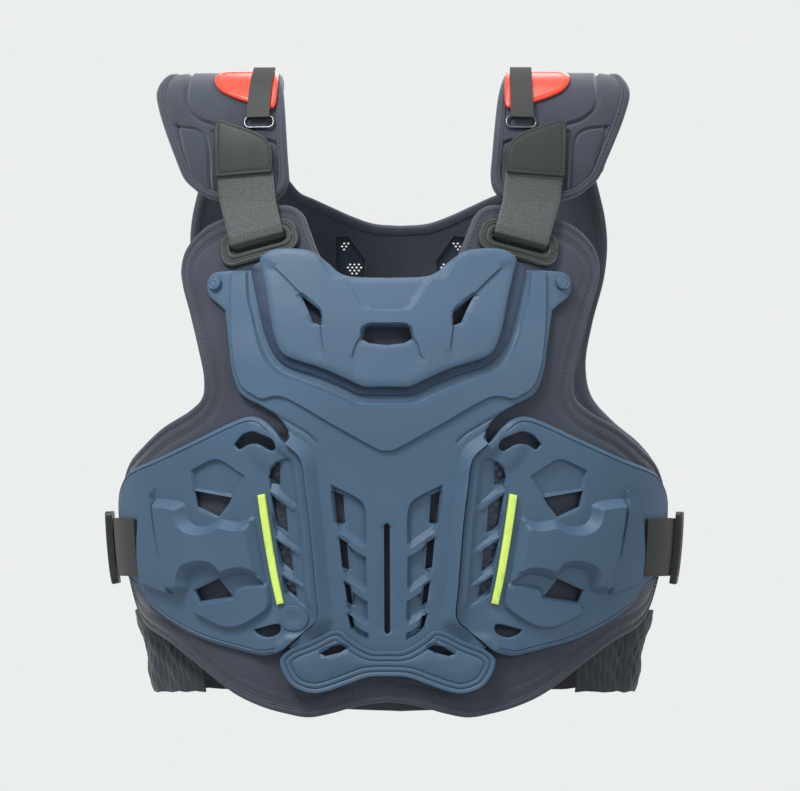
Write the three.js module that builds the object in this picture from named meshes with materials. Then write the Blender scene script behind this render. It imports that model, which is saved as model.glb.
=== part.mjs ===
// A roost deflector: a chest and back protector worn over the shoulders.
// Millimetres. +Z is up, the chest faces -Y, and the wearer's right is at -X.
// The origin is where the shoulder pads rest on the shoulders, midway between them.
// Names that end in _l are at -X, the left of a picture taken from the front.

import {
  BufferGeometry,
  CatmullRomCurve3,
  Float32BufferAttribute,
  Group,
  Mesh,
  MeshStandardMaterial,
  ShapeUtils,
  Vector2,
  Vector3,
} from 'three';

// Driving sizes of the torso that the pieces lie on
const bodyHalfWidth = 192;
const bodyFrontDepth = 122;
const bodyBackDepth = 122;
const bodySquareness = 2.3;
const panelTop = -88;
const panelHeight = 368;

// Walls and clearances
const gap = 0.3;
const layerGap = 0.9;
const clothGap = 0.8;
const panelThickness = 6;
const bindingWidth = 6.5;
const bindingProud = 0.8;
const shellThickness = 3;
const seamGap = 1.2;
const upperRise = 3;
const coreRise = 4;
const bridgeRise = 9;
const bevelWidth = 5;
const collarBaseThickness = 1.5;
const collarThickness = 4;
const collarRise = 2.5;
const hemThickness = 4;
const meshThickness = 1.2;
const meshInset = 2.4;
const meshHole = 3;
const meshPitch = 5.6;

// Shoulder pads
const padThickness = 10;
const padInnerEdge = 72;
const padWidth = 98;
const padBackDrop = 62;
const padEndGap = 2;
const backSeamGap = 0.6;

// Straps, guards and small parts
const webWidth = 39;
const webThickness = 2;
const webCentre = 102.5;
const slotClearance = 1.2;
const slotHeight = 8.8;
const guardRim = 8.2;
const guardThickness = 2.6;
const guardTilt = 14.5;
const patchThickness = 2;
const tabThickness = 2.7;
const tabStrapWidth = 15.5;
const tabStrapCentre = 92.5;
const tabStrapThickness = 1.6;
const loopWire = 2;
const loopWidth = 20;
const loopHeight = 8;
const stripeThickness = 1.2;
const rivetRadius = 5;
const rivetHeight = 2.2;
const badgeRadius = 9.4;
const badgeHeight = 1.4;
const beltHeight = 60;
const beltThickness = 3;
const beltRise = 47;
const beltRipple = 1.4;
const beltFolds = 18;
const beltGap = 0.55;
const sideStrapWidth = 40;
const sideStrapThickness = 2;
const sideStrapDrop = 245;
const buckleHeight = 50;
const buckleLength = 30;
const buckleThickness = 5;
const buckleWindow = 6;

// Colours
const NEOPRENE = 0x3c3e50;
const BINDING = 0x484a5e;
const SHELL = 0x58708a;
const DEEP_BLUE = 0x233755;
const WEBBING = 0x3e4442;
const RED = 0xf05a3c;
const YELLOW = 0xe0f066;
const BLACK = 0x1c1d20;
const STEEL = 0x9a9ca0;

// Sections of the torso, top to bottom. Columns: down in percent of the panel's height,
// then half width, front depth and back depth in percent of the driving sizes.
const SECTIONS = [
  [-26, 88, 55, 70],
  [0, 91, 72, 84],
  [12, 94, 84, 93],
  [25, 96, 94, 98],
  [40, 98, 100, 100],
  [55, 100, 99, 97],
  [70, 98.5, 96, 92],
  [82, 94, 92, 88],
  [104, 89, 87, 85],
];

// Half outlines, seen from the front. Columns: across in percent of the plate's half width,
// down in percent of the panel's height, and 1 where the outline has a sharp corner.
const PANEL = [
  [0, 14.5], [12, 14.3], [18, 13.5], [25.1, 10.4], [29.5, 5.1], [32, 2], [36, 0.3], [42, 0],
  [61, 2.3], [69.7, 4.7], [75.9, 8.6], [77.7, 12.5], [77, 15.8], [74.1, 21.3], [70.8, 28.2],
  [68.6, 34], [69.2, 37.6], [73.4, 39.9], [84, 43.4], [91.8, 47.2], [96.5, 50], [99, 53.4],
  [99.8, 58], [99, 68], [96.5, 75], [93.5, 80], [90.5, 82.5], [82, 85.4], [73.5, 88.9],
  [65.5, 92.3], [57, 95.6], [47, 98], [38, 99.3], [30, 100], [22, 99.3], [10, 97.6], [0, 96.9],
];
const SHELL_EDGE = [
  [0, 16.8], [14, 16.5], [20, 14.4], [26, 12.4], [34, 11.6], [42, 12], [48.5, 13.2, 1],
  [59.5, 13.3], [64.6, 13.8], [66.4, 15.6], [65.6, 18], [62, 19.8], [59.7, 20.9, 1],
  [57.7, 28.2], [56.3, 33], [53.4, 36.8], [46.7, 39.1], [39.3, 41.5], [36, 43.9],
];
const SHELL_FOOT = [
  [35.4, 86.4], [36.6, 89], [34.7, 92], [29.6, 93.5], [17.3, 91.6], [7.8, 89.7], [0, 89.4],
];
const COLLAR = [
  [0, 15.2], [13.7, 14.9], [17.6, 14.2], [22.4, 12], [27.5, 10.3], [33.7, 9.7], [39.2, 9.7],
  [43.4, 10.2], [46.3, 11.5], [45.4, 14], [43.6, 18.4], [40.2, 26.8], [37.4, 29.6],
  [31.9, 30.9], [24.6, 32.1], [17.3, 33.7], [10.8, 35.3], [8.2, 35.8], [0, 35.8],
];
const COLLAR_BASE = [
  [0, 16.2], [14, 15.9], [19, 14.4], [25, 12.1], [34, 11], [42, 11], [46.5, 11.7],
  [49.9, 12.9], [49.4, 15], [48, 18.4], [45, 25], [41.5, 29.2], [37.7, 31.3], [33, 32.4],
  [24.6, 33.8], [15.5, 35.8], [10.8, 37], [6, 37.3], [0, 37.3],
];
const HEM = [
  [0, 86.7], [5.6, 86.6], [12.9, 84.4], [16.9, 82.7], [20.6, 82.8], [28.2, 84.8], [36.2, 86.7],
  [39, 88.5], [36.9, 92], [34.4, 93.6], [30.7, 94.6], [26, 95], [20.9, 94.4], [13.6, 93],
  [7.1, 91.8], [0, 91.6],
];
const BACK_PANEL = [
  [0, 3.4], [10, 3], [18, 1.6], [26, -0.3], [33, -2], [38, -3.2],
  [42, -5.6, 1], [42.2, -6.9, 1], [73.6, -6.9, 1], [75.5, -3],
  [77.5, 2], [78.3, 7.5], [77, 14], [72.5, 23], [70, 31], [72, 37], [80, 42], [90, 46.5],
  [96, 51], [97.5, 60], [96.5, 70], [92.5, 79], [86, 86], [72, 92], [52, 96.5], [28, 99.2], [0, 100],
];

// The seam between a wing and the main shell, top to bottom, in the same columns
const WING_SEAM = [
  [37.8, 46], [34.9, 47.2], [31.6, 48.9], [30.2, 51], [29.7, 53.6], [27.9, 61.4], [25.7, 75.1],
  [25, 78.7], [25.9, 80.8], [29, 82.4], [33.7, 84.5], [37.4, 86.3],
];
const WING_EDGE = [
  [41.1, 87.3], [46, 87.7], [57.7, 86.3], [65.3, 85.1], [72.8, 83.4], [79.6, 81.2], [84, 79.4],
  [88, 77.4], [90.5, 75], [95.3, 72.6], [98, 66], [99, 60], [98.8, 56.5], [97.5, 54], [95, 52.1],
  [84, 49.3], [69, 45.4], [57.8, 42.5], [53, 41.5], [49.7, 41.2], [46, 41.7], [42.3, 43.2],
];

// Openings and raised forms of a wing, in the same columns
const WING_WINDOWS = {
  boomerang: [
    [55.9, 46.6], [53, 44.8], [49, 44.1], [46, 44.6], [40.9, 46], [40.4, 47.2], [42, 47.8],
    [47.5, 46.5], [51, 46.7], [54.3, 47.6],
  ],
  upper: [[70.6, 55.6], [56.9, 56.9], [58, 58.2], [61.7, 60.7], [65.4, 59.7], [69.5, 58.7]],
  lower: [[70.6, 74.8], [61.7, 72.5], [56.6, 76], [68.8, 77]],
  lower_slot: [[48.8, 82.6], [39.3, 81.5], [39.2, 83], [43.6, 84.1], [48, 83.3]],
};
const BRIDGE = [
  [87.8, 56.8], [73.8, 58.2], [73.2, 60.1], [72.2, 61.5], [70, 62.3], [66.4, 62.4], [62.8, 61.6],
  [60.6, 61.1], [54, 61.6], [48.5, 60.2, 1], [43.9, 74.2, 1], [47.3, 73], [51.4, 71.8], [55.8, 72],
  [60.6, 72.8], [63.5, 70.9], [66, 70.5], [68.8, 70.7], [71.5, 71.3], [72.7, 72.7], [72.8, 74.7],
  [81, 75.1],
];

// Openings of a wing's louvre, top to bottom, between its slanting ribs. Each has the corners
// of its lower edge, outer and inner, and those of its upper edge, in the outlines' columns.
const LOUVRES = [
  { outer: [42.7, 53], inner: [32.8, 57.5], farOuter: [41.2, 50], farInner: [33.4, 50.4] },
  { outer: [41.2, 62], inner: [31.2, 66], farOuter: [42.4, 56], farInner: [32.4, 60.5] },
  { outer: [39.2, 69.2], inner: [30, 72.6], farOuter: [40.6, 65], farInner: [30.9, 69] },
  { outer: [37.8, 74.5], inner: [28.8, 77.6], farOuter: [38.7, 72.1], farInner: [29.6, 75.4] },
];

// Openings of the shell's ladder vents, top to bottom, in the outlines' columns
const LADDER = [
  [[19.5, 55.6], [16.2, 56.4], [15.5, 61.8], [18.4, 61.8]],
  [[17.6, 64.6], [14.7, 65.5], [14, 70.8], [16.5, 70.4]],
  [[15.8, 73], [13.6, 73.8], [12.9, 77.7], [14.7, 77.1]],
  [[14.7, 79.4], [12.9, 79.8], [12.2, 82.4], [13.6, 81.8]],
];
const CENTRE_SLOT = { halfAcross: 1.1, top: 62.4, bottom: 82.8 };
const HEM_WINDOW = [
  [24.6, 87.2], [20.2, 85.8], [16.9, 85.5], [14.7, 86.2], [17.3, 87], [22.4, 87.7],
];

// Openings of the collar: half of the one in the middle, and the one at each side
const COLLAR_WINDOW = [[0, 23], [6.4, 23], [8.2, 23.4], [9.1, 25.1], [8.9, 25.8], [6.4, 26.5], [0, 26.9]];
const COLLAR_VENT = [
  [31.5, 18.4], [24.5, 21.3], [23.8, 22.3], [23.8, 24.3], [26.7, 23.7], [28.2, 21.9], [30.7, 19.2],
];

// Raised forms of the main shell, half of each, in the outlines' columns
const UPPER_FORM = [
  [0, 38.6], [12, 38.2], [26, 35.2], [40, 32.6], [47, 27.4], [50.6, 18.8], [51.2, 15.2],
  [57, 15], [56.4, 20.4], [55.3, 28.2], [53.6, 32.8], [50.4, 35.8], [44.6, 37.4], [37.3, 38],
  [31.8, 39.7], [5.6, 47.1], [0, 47.9],
];
const CORE_FORM = [
  [0, 50], [8, 49.6], [32.5, 42.9], [33.2, 45.4], [28.9, 47.2], [26.4, 48.8], [24.5, 55.6],
  [22.4, 66.3], [20.5, 77.1], [19.5, 80.6], [20.9, 82.6], [19, 82.7], [15.6, 82.7],
  [11.2, 84.6], [5, 86.2], [0, 86.2],
];

// The mesh window behind a wing's louvres, a straight-sided strip in the outlines' columns
const MESH_WINDOW = [[43.4, 50], [35.2, 50], [31, 78.4], [38.6, 78.4]];
const BACK_WINDOW = [
  [24.7, 5.5], [20.4, 5.3], [13.5, 10.2], [13.8, 12.9], [15.3, 16.4], [20, 16.4], [24.7, 11.5],
];

// The yellow strip on a wing, the rivet and the badge, in the outlines' columns
const STRIPE = [[47, 56.4], [44.4, 56.1], [37.8, 77.2], [40.2, 77.5]];
const RIVET_PLACE = [63, 15.7];
const BADGE_PLACE = [34.3, 80.2];
const GUARD_PLACE = [48.7, 7.7];

// Half of the arch that a shoulder pad follows, from its top down to its end.
// Columns: reach out from the top and drop, in percent of the whole reach and drop.
const ARCH_FRONT = [[0, 0], [33, 2], [66, 14], [87, 46], [100, 100]];
const ARCH_BACK = [[0, 0], [35, 5], [68, 26], [90, 62], [100, 100]];

// A shoulder pad's outline. Columns: across in percent of its width from its inner edge,
// along in percent of the front arch or, where negative, of the back arch.
const PAD = [
  [9, 10], [6.6, 34], [4.4, 47], [1, 76], [0, 86], [1.2, 92], [4.5, 96], [10, 99], [30, 100],
  [52, 99], [62, 96.4], [68, 93], [75, 88], [82, 76.5], [90, 61], [95, 48], [97, 40],
  [97.2, 33], [95.5, 20], [92.7, 6], [91.8, -10], [90, -40], [83.4, -75], [75, -100, 1],
  [11.6, -100, 1], [12, -60], [10, -25],
];

// The wide webbing's patch on a pad, and the red tab. Columns: distance across from the
// webbing's centre and along from the top, in percent of the webbing's width and of the
// front arch.
const PATCH = [
  [-51, 62], [-47, 59.6], [-41, 59], [-25, 60.6], [34, 67.6], [47, 71], [53, 76],
  [53, 85.5, 1], [-47, 87.5, 1],
];
const TAB = [
  [52, 24], [54, 50], [50, 52.6], [42, 52.6], [10, 50], [-27, 46], [-50, 42], [-60, 38], [-64, 31],
  [-61, 27], [-52, 24], [-30, 23],
];

// The driving values that follow from those above
const plateHalfWidth = bodyHalfWidth + panelThickness;
const shellBase = panelThickness + layerGap;
const shellFace = shellBase + shellThickness;
const collarBaseFloor = shellFace + layerGap;
const collarFloor = collarBaseFloor + collarBaseThickness + layerGap;
const onShell = shellFace + layerGap;
const guardFloor = panelThickness + layerGap;
const guardTop = guardFloor + guardThickness;
const padFrontDrop = -panelTop - padEndGap;
const padReachFront = bodyFrontDepth * 0.715;
const padReachBack = bodyBackDepth * 0.806;
const backTop = ((panelTop + padBackDrop + backSeamGap) / panelHeight) * 100;
const padHalfWidthAtTop = bodyHalfWidth * 0.91;
const strapLayer = padThickness + layerGap;
const patchLayer = strapLayer + webThickness + layerGap;
const slotLength = webWidth + 2 * slotClearance;
const girthRadius = (bodyHalfWidth + bodyFrontDepth) / 2;
const coarse = 40;
const plate = 28;
const medium = 16;
const relief = 12;
const fine = 9;

// Reads a table by its first column, with a smooth curve through its rows
function along(table, value, column) {
  const last = table.length - 1;
  let row = 0;
  while (row < last - 1 && value > table[row + 1][0]) row += 1;
  const slope = (i) => {
    const low = Math.max(i - 1, 0);
    const high = Math.min(i + 1, last);
    return (table[high][column] - table[low][column]) / (table[high][0] - table[low][0]);
  };
  const step = table[row + 1][0] - table[row][0];
  const t = Math.min(Math.max((value - table[row][0]) / step, 0), 1);
  const rise = table[row + 1][column] - table[row][column];
  const curve = (slope(row) * (1 - t) - slope(row + 1) * t) * step + rise * (2 * t - 1);
  return table[row][column] + rise * t + t * (1 - t) * curve;
}

const downOf = (z) => ((panelTop - z) / panelHeight) * 100;
const heightOf = (down) => panelTop - (down / 100) * panelHeight;
const halfWidthAt = (z) => (bodyHalfWidth * along(SECTIONS, downOf(z), 1)) / 100;
const frontDepthAt = (z) => (bodyFrontDepth * along(SECTIONS, downOf(z), 2)) / 100;
const backDepthAt = (z) => (bodyBackDepth * along(SECTIONS, downOf(z), 3)) / 100;

const power = (value, exponent) => Math.sign(value) * Math.abs(value) ** exponent;

// A point of the torso: angle round from the front's centre line, and height
function torso(angle, z) {
  const depth = Math.cos(angle) > 0 ? frontDepthAt(z) : backDepthAt(z);
  const exponent = 2 / bodySquareness;
  return new Vector3(
    halfWidthAt(z) * power(Math.sin(angle), exponent),
    -depth * power(Math.cos(angle), exponent),
    z,
  );
}

// A point that stands off a surface, for a surface given by two numbers
function standOff(surface, u, v, out, step = 0.004, rise = 0.5) {
  const across = surface(u + step, v).sub(surface(u - step, v));
  const up = surface(u, v + rise).sub(surface(u, v - rise));
  const normal = across.cross(up).normalize();
  return surface(u, v).addScaledVector(normal, out);
}

const onTorso = (point, out) => standOff(torso, point.x / girthRadius, point.y, out);

// The place on the torso's unrolled surface of a point seen from the front or the back
function unrolled(x, z, back = false) {
  const share = Math.min(Math.abs(x) / (halfWidthAt(z) + panelThickness), 1);
  const angle = Math.asin(share ** (bodySquareness / 2)) * Math.sign(x);
  return new Vector2((back ? Math.PI - angle : angle) * girthRadius, z);
}

// The arches that the shoulder pads follow, at the left or right side
function archCurve(rows, reach, drop) {
  const points = rows.map(([out, down]) => new Vector3(0, (reach * out) / 100, (-drop * down) / 100));
  return new CatmullRomCurve3(points, false, 'centripetal');
}

const archFront = archCurve(ARCH_FRONT, -padReachFront, padFrontDrop);
const archBack = archCurve(ARCH_BACK, padReachBack, padBackDrop);
const archFrontLength = archFront.getLength();
const archBackLength = archBack.getLength();

function archPoint(x, length) {
  const inFront = length >= 0;
  const curve = inFront ? archFront : archBack;
  const whole = inFront ? archFrontLength : archBackLength;
  const share = Math.min(Math.abs(length) / whole, 1);
  const point = curve.getPointAt(share);
  const spread = Math.min(Math.abs(x) / padHalfWidthAtTop, 0.98);
  const narrowing = (1 - spread ** bodySquareness) ** (1 / bodySquareness);
  const beyond = Math.max(Math.abs(length) - whole, 0);
  return new Vector3(x, point.y * narrowing, point.z - beyond);
}

// Length runs down the front, so the two directions are swapped to keep the normal outward
const archSurface = (x, length) => archPoint(x, -length);
const onArch = (point, out) => standOff(archSurface, point.x, point.y, out, 0.5, 0.5);

// Outlines
const front = ([across, down]) => new Vector2((across / 100) * plateHalfWidth, heightOf(down));

// A smooth line through rows, broken at the rows that are marked as corners
function smooth(rows, place, spacing) {
  const runs = [[]];
  rows.forEach((row, index) => {
    runs.at(-1).push(place(row));
    if (row[2] && index > 0 && index < rows.length - 1) runs.push([place(row)]);
  });
  const line = [];
  for (const run of runs) {
    const curve = new CatmullRomCurve3(run.map((p) => new Vector3(p.x, p.y, 0)), false, 'centripetal');
    const steps = Math.max(Math.round(curve.getLength() / spacing), run.length > 2 ? 3 : 1);
    const points = curve.getSpacedPoints(steps).map((p) => new Vector2(p.x, p.y));
    line.push(...points.slice(line.length ? 1 : 0));
  }
  return line;
}

// A whole outline made from its half at +X, seen from the front
function mirroredPoints(half) {
  const other = half.slice(1, -1).reverse();
  return [...half, ...other.map((p) => new Vector2(-p.x, p.y))];
}

const mirrored = (rows, spacing) => mirroredPoints(smooth(rows, front, spacing));

const closed = (rows, spacing, place = front) => smooth([...rows, rows[0]], place, spacing).slice(0, -1);
const sided = (points, side) => points.map((p) => new Vector2(p.x * side, p.y));
const rolled = (points, back = false) => points.map((p) => unrolled(p.x, p.y, back));

function counterClockwise(points) {
  return ShapeUtils.area(points) > 0 ? points : [...points].reverse();
}

function toSegment(p, a, b) {
  const along = b.clone().sub(a);
  const t = Math.min(Math.max(p.clone().sub(a).dot(along) / along.lengthSq(), 0), 1);
  return p.distanceTo(a.clone().addScaledVector(along, t));
}

function toOutline(p, outline) {
  return Math.min(...outline.map((a, i) => toSegment(p, a, outline[(i + 1) % outline.length])));
}

function inside(p, outline) {
  let result = false;
  outline.forEach((a, i) => {
    const b = outline[(i + 1) % outline.length];
    const crosses = a.y > p.y !== b.y > p.y;
    if (crosses && p.x < ((b.x - a.x) * (p.y - a.y)) / (b.y - a.y) + a.x) result = !result;
  });
  return result;
}

// The outline moved inwards with mitred corners, without the points where it would cross itself
function inset(points, distance) {
  const outline = counterClockwise(points);
  const count = outline.length;
  const moved = outline.map((p, i) => {
    const before = inwardNormal(outline[(i + count - 1) % count], p);
    const after = inwardNormal(p, outline[(i + 1) % count]);
    const mitre = distance / Math.max(1 + before.dot(after), 0.4);
    return p.clone().addScaledVector(before.add(after), mitre);
  });
  return moved.filter((p) => toOutline(p, outline) > distance * 0.93);
}

// The outline with its long straight edges cut into even steps, which bow out by a hair
// because three points in one line can't make a triangle
const edgeBow = 0.1;

function divided(outline, longest) {
  return outline.flatMap((p, i) => {
    const next = outline[(i + 1) % outline.length];
    const steps = Math.ceil(p.distanceTo(next) / longest);
    return Array.from({ length: steps }, (_, k) => {
      const t = k / steps;
      return p.clone().lerp(next, t).addScaledVector(inwardNormal(p, next), -edgeBow * t * (1 - t));
    });
  });
}

function inwardNormal(a, b) {
  return new Vector2(a.y - b.y, b.x - a.x).normalize();
}

// Triangles of an outline with holes and inner points, with no thin ones where they can be helped
function triangulated(outline, holes, innerPoints) {
  const points = [...outline, ...holes.flat()];
  const faces = ShapeUtils.triangulateShape(skewed(outline), holes.map(skewed))
    .map((face) => (turn(points, ...face) < 0 ? [...face].reverse() : [...face]));
  const fixed = new Set();
  let start = 0;
  for (const ring of [outline, ...holes]) {
    ring.forEach((p, i) => fixed.add(edgeKey(start + i, start + ((i + 1) % ring.length))));
    start += ring.length;
  }
  for (const p of innerPoints) insertPoint(points, faces, p);
  let flipped = true;
  for (let pass = 0; flipped && pass < 90; pass += 1) flipped = flipPass(points, faces, fixed);
  return { points, faces };
}

// A skewed copy, so that mirrored openings don't line up with each other
const skewed = (ring) => ring.map((p) => new Vector2(p.x + p.y / 7, p.y + p.x / 13));

// Splits the face that holds the point into three
function insertPoint(points, faces, point) {
  const added = points.push(point) - 1;
  const depthIn = ([a, b, c]) => (
    Math.min(turn(points, a, b, added), turn(points, b, c, added), turn(points, c, a, added))
  );
  let best = 0;
  let depth = -Infinity;
  faces.forEach((face, index) => {
    const here = depthIn(face);
    if (here > depth) [best, depth] = [index, here];
  });
  const [a, b, c] = faces[best];
  faces[best] = [a, b, added];
  faces.push([b, c, added], [c, a, added]);
}

const edgeKey = (a, b) => (a < b ? `${a} ${b}` : `${b} ${a}`);

function turn(points, a, b, c) {
  const [p, q, r] = [points[a], points[b], points[c]];
  return (q.x - p.x) * (r.y - p.y) - (q.y - p.y) * (r.x - p.x);
}

// Whether d lies in the circle through a, b and c, which are in counter-clockwise order
function inCircle(points, a, b, c, d) {
  const rows = [a, b, c].map((i) => {
    const x = points[i].x - points[d].x;
    const y = points[i].y - points[d].y;
    return [x, y, x * x + y * y];
  });
  const [p, q, r] = rows;
  const whole = p[0] * (q[1] * r[2] - q[2] * r[1])
    - p[1] * (q[0] * r[2] - q[2] * r[0])
    + p[2] * (q[0] * r[1] - q[1] * r[0]);
  return whole > 1e-6;
}

function flipPass(points, faces, fixed) {
  const owners = new Map();
  faces.forEach((face, index) => {
    for (let i = 0; i < 3; i += 1) {
      const key = edgeKey(face[i], face[(i + 1) % 3]);
      if (!owners.has(key)) owners.set(key, []);
      owners.get(key).push([index, face[(i + 2) % 3]]);
    }
  });
  const touched = new Set();
  let any = false;
  for (const [key, pair] of owners) {
    if (pair.length !== 2 || fixed.has(key)) continue;
    const [[first, c], [second, d]] = pair;
    if (touched.has(first) || touched.has(second)) continue;
    const face = faces[first];
    const at = face.indexOf(c);
    const a = face[(at + 1) % 3];
    const b = face[(at + 2) % 3];
    const convex = turn(points, a, d, c) > 1e-9 && turn(points, d, b, c) > 1e-9;
    if (!convex || !inCircle(points, a, b, c, d)) continue;
    faces[first] = [a, d, c];
    faces[second] = [d, b, c];
    touched.add(first).add(second);
    any = true;
  }
  return any;
}

function solidOf(positions, faces) {
  const geometry = new BufferGeometry();
  geometry.setAttribute('position', new Float32BufferAttribute(positions.flatMap((p) => [p.x, p.y, p.z]), 3));
  geometry.setIndex(faces.flat());
  const separate = geometry.toNonIndexed();
  separate.computeVertexNormals();
  return separate;
}

// Inner points on a staggered grid, clear of every line
function gridPoints(outline, lines, spacing, clear) {
  const xs = outline.map((p) => p.x);
  const ys = outline.map((p) => p.y);
  const [left, right] = [Math.min(...xs), Math.max(...xs)];
  const [bottom, top] = [Math.min(...ys), Math.max(...ys)];
  const points = [];
  const centre = (left + right) / 2;
  const rows = Math.ceil((top - bottom) / spacing);
  const columns = Math.ceil((right - left) / spacing);
  for (let row = 0; row < rows; row += 1) {
    const y = bottom + (row + 0.5) * ((top - bottom) / rows);
    const shift = row % 2 ? 0.5 : 0;
    for (let column = -columns; column <= columns; column += 1) {
      const p = new Vector2(centre + (column + shift) * spacing, y);
      if (inside(p, outline) && lines.every((line) => toOutline(p, line) > clear)) points.push(p);
    }
  }
  return points;
}

// A wall on a surface: an outline with holes, from one stand-off to another.
// Each raised form lifts the outer face by its height, over a bevel inside its line.
function wall({ outline, holes = [], from, to, raised = [], surface = onTorso, spacing = coarse }) {
  const edge = divided(counterClockwise(outline), spacing * 1.3);
  const openings = holes.map((hole) => divided([...counterClockwise(hole)].reverse(), spacing * 1.3));
  const forms = raised.map((form) => ({
    ...form,
    foot: counterClockwise(form.line),
    brow: inset(form.line, form.bevel ?? bevelWidth),
  }));
  const lines = [edge, ...openings, ...forms.flatMap((form) => [form.foot, form.brow])];
  const formPoints = forms.flatMap((form) => [...form.foot, ...form.brow]);
  const clearOfEdges = (p) => inside(p, edge)
    && [edge, ...openings].every((line) => toOutline(p, line) > 1.5)
    && openings.every((hole) => !inside(p, hole));
  const spread = [];
  for (const p of formPoints.filter(clearOfEdges)) {
    if (spread.every((q) => q.distanceTo(p) > 1.2)) spread.push(p);
  }
  const between = gridPoints(edge, lines, spacing, spacing * 0.42)
    .filter((p) => openings.every((hole) => !inside(p, hole)));
  const { points, faces } = triangulated(edge, openings, [...spread, ...between]);
  const lift = (p) => forms.reduce((sum, form) => {
    if (!inside(p, form.foot)) return sum;
    const share = Math.min(toOutline(p, form.foot) / (form.bevel ?? bevelWidth), 1);
    return sum + form.height * share;
  }, 0);
  const count = points.length;
  const outer = points.map((p) => surface(p, to + lift(p)));
  const inner = points.map((p) => surface(p, from));
  const sides = [];
  let start = 0;
  for (const ring of [edge, ...openings]) {
    ring.forEach((p, i) => {
      const a = start + i;
      const b = start + ((i + 1) % ring.length);
      sides.push([a, a + count, b], [b, a + count, b + count]);
    });
    start += ring.length;
  }
  const back = faces.map(([a, b, c]) => [a + count, c + count, b + count]);
  return solidOf([...outer, ...inner], [...faces, ...back, ...sides]);
}

// A strip from rows of points, with its thickness across it
function strip(rows, thickness) {
  const height = rows.length;
  const width = rows[0].length;
  const normalAt = (i, j) => {
    const along = rows[Math.min(i + 1, height - 1)][j].clone().sub(rows[Math.max(i - 1, 0)][j]);
    const across = rows[i][Math.min(j + 1, width - 1)].clone().sub(rows[i][Math.max(j - 1, 0)]);
    return across.cross(along).normalize();
  };
  const shifted = (distance) => rows.flatMap((row, i) => row.map((p, j) => (
    p.clone().addScaledVector(normalAt(i, j), distance)
  )));
  const count = height * width;
  const at = (i, j) => i * width + j;
  const faces = [];
  for (let i = 0; i < height - 1; i += 1) {
    for (let j = 0; j < width - 1; j += 1) {
      const [a, b, c, d] = [at(i, j), at(i, j + 1), at(i + 1, j + 1), at(i + 1, j)];
      faces.push([a, b, c], [a, c, d], [a + count, c + count, b + count], [a + count, d + count, c + count]);
    }
  }
  const rim = [];
  for (let j = 0; j < width - 1; j += 1) rim.push([at(0, j), at(0, j + 1)]);
  for (let i = 0; i < height - 1; i += 1) rim.push([at(i, width - 1), at(i + 1, width - 1)]);
  for (let j = width - 1; j > 0; j -= 1) rim.push([at(height - 1, j), at(height - 1, j - 1)]);
  for (let i = height - 1; i > 0; i -= 1) rim.push([at(i, 0), at(i - 1, 0)]);
  for (const [a, b] of rim) faces.push([a, a + count, b], [b, a + count, b + count]);
  return solidOf([...shifted(thickness / 2), ...shifted(-thickness / 2)], faces);
}

// A wire bent into a closed ring, with a section of six sides
function wireRing(centres, normals, radius) {
  const sides = 6;
  const count = centres.length;
  const positions = [];
  centres.forEach((centre, i) => {
    const run = centres[(i + 1) % count].clone().sub(centres[(i + count - 1) % count]).normalize();
    const across = normals[i].clone().cross(run).normalize();
    for (let k = 0; k < sides; k += 1) {
      const angle = (k / sides) * 2 * Math.PI;
      positions.push(centre.clone()
        .addScaledVector(normals[i], Math.cos(angle) * radius)
        .addScaledVector(across, Math.sin(angle) * radius));
    }
  });
  const faces = [];
  for (let i = 0; i < count; i += 1) {
    for (let k = 0; k < sides; k += 1) {
      const a = i * sides + k;
      const b = i * sides + ((k + 1) % sides);
      const c = ((i + 1) % count) * sides + ((k + 1) % sides);
      const d = ((i + 1) % count) * sides + k;
      faces.push([a, c, b], [a, d, c]);
    }
  }
  return solidOf(positions, faces);
}

const vest = new Group();

function add(name, geometry, color, roughness = 0.6, metalness = 0) {
  const mesh = new Mesh(geometry, new MeshStandardMaterial({ color, roughness, metalness }));
  mesh.name = name;
  vest.add(mesh);
}

const SIDES = [[-1, 'l'], [1, 'r']];

// A rounded rectangle turned about its centre
function roundedBox(centre, length, height, radius, tilt, steps = 3) {
  const points = [];
  const corners = [[1, 1, 0], [-1, 1, 1], [-1, -1, 2], [1, -1, 3]];
  for (const [sx, sy, quarter] of corners) {
    for (let i = 0; i <= steps; i += 1) {
      const angle = (quarter + i / steps) * (Math.PI / 2);
      points.push(new Vector2(
        sx * (length / 2 - radius) + radius * Math.cos(angle),
        sy * (height / 2 - radius) + radius * Math.sin(angle),
      ));
    }
  }
  return points.map((p) => p.rotateAround(new Vector2(), tilt).add(centre));
}

// A round outline with a given number of corners
function circle(centre, radius, corners, start = 0) {
  return Array.from({ length: corners }, (_, i) => {
    const angle = start + (i / corners) * 2 * Math.PI;
    return new Vector2(centre.x + radius * Math.cos(angle), centre.y + radius * Math.sin(angle));
  });
}

const unrolledRow = (row, side) => {
  const p = front(row);
  return unrolled(p.x * side, p.y);
};

// Places and outlines that more than one piece needs
const guardCentre = (side) => unrolledRow(GUARD_PLACE, side);
const guardTurn = (side) => (-side * guardTilt * Math.PI) / 180;
const slotOutline = (side) => (
  roundedBox(guardCentre(side), slotLength, slotHeight, slotHeight / 2 - 0.5, guardTurn(side), 2)
);
const meshWindow = (side) => MESH_WINDOW.map((row) => unrolledRow(row, side));
const backWindow = (side) => rolled(sided(BACK_WINDOW.map(front), side), true);

function ringBetween(outline, holeOutline, from, to, surface, spacing) {
  return wall({ outline, holes: [holeOutline], from, to, surface, spacing });
}

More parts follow.
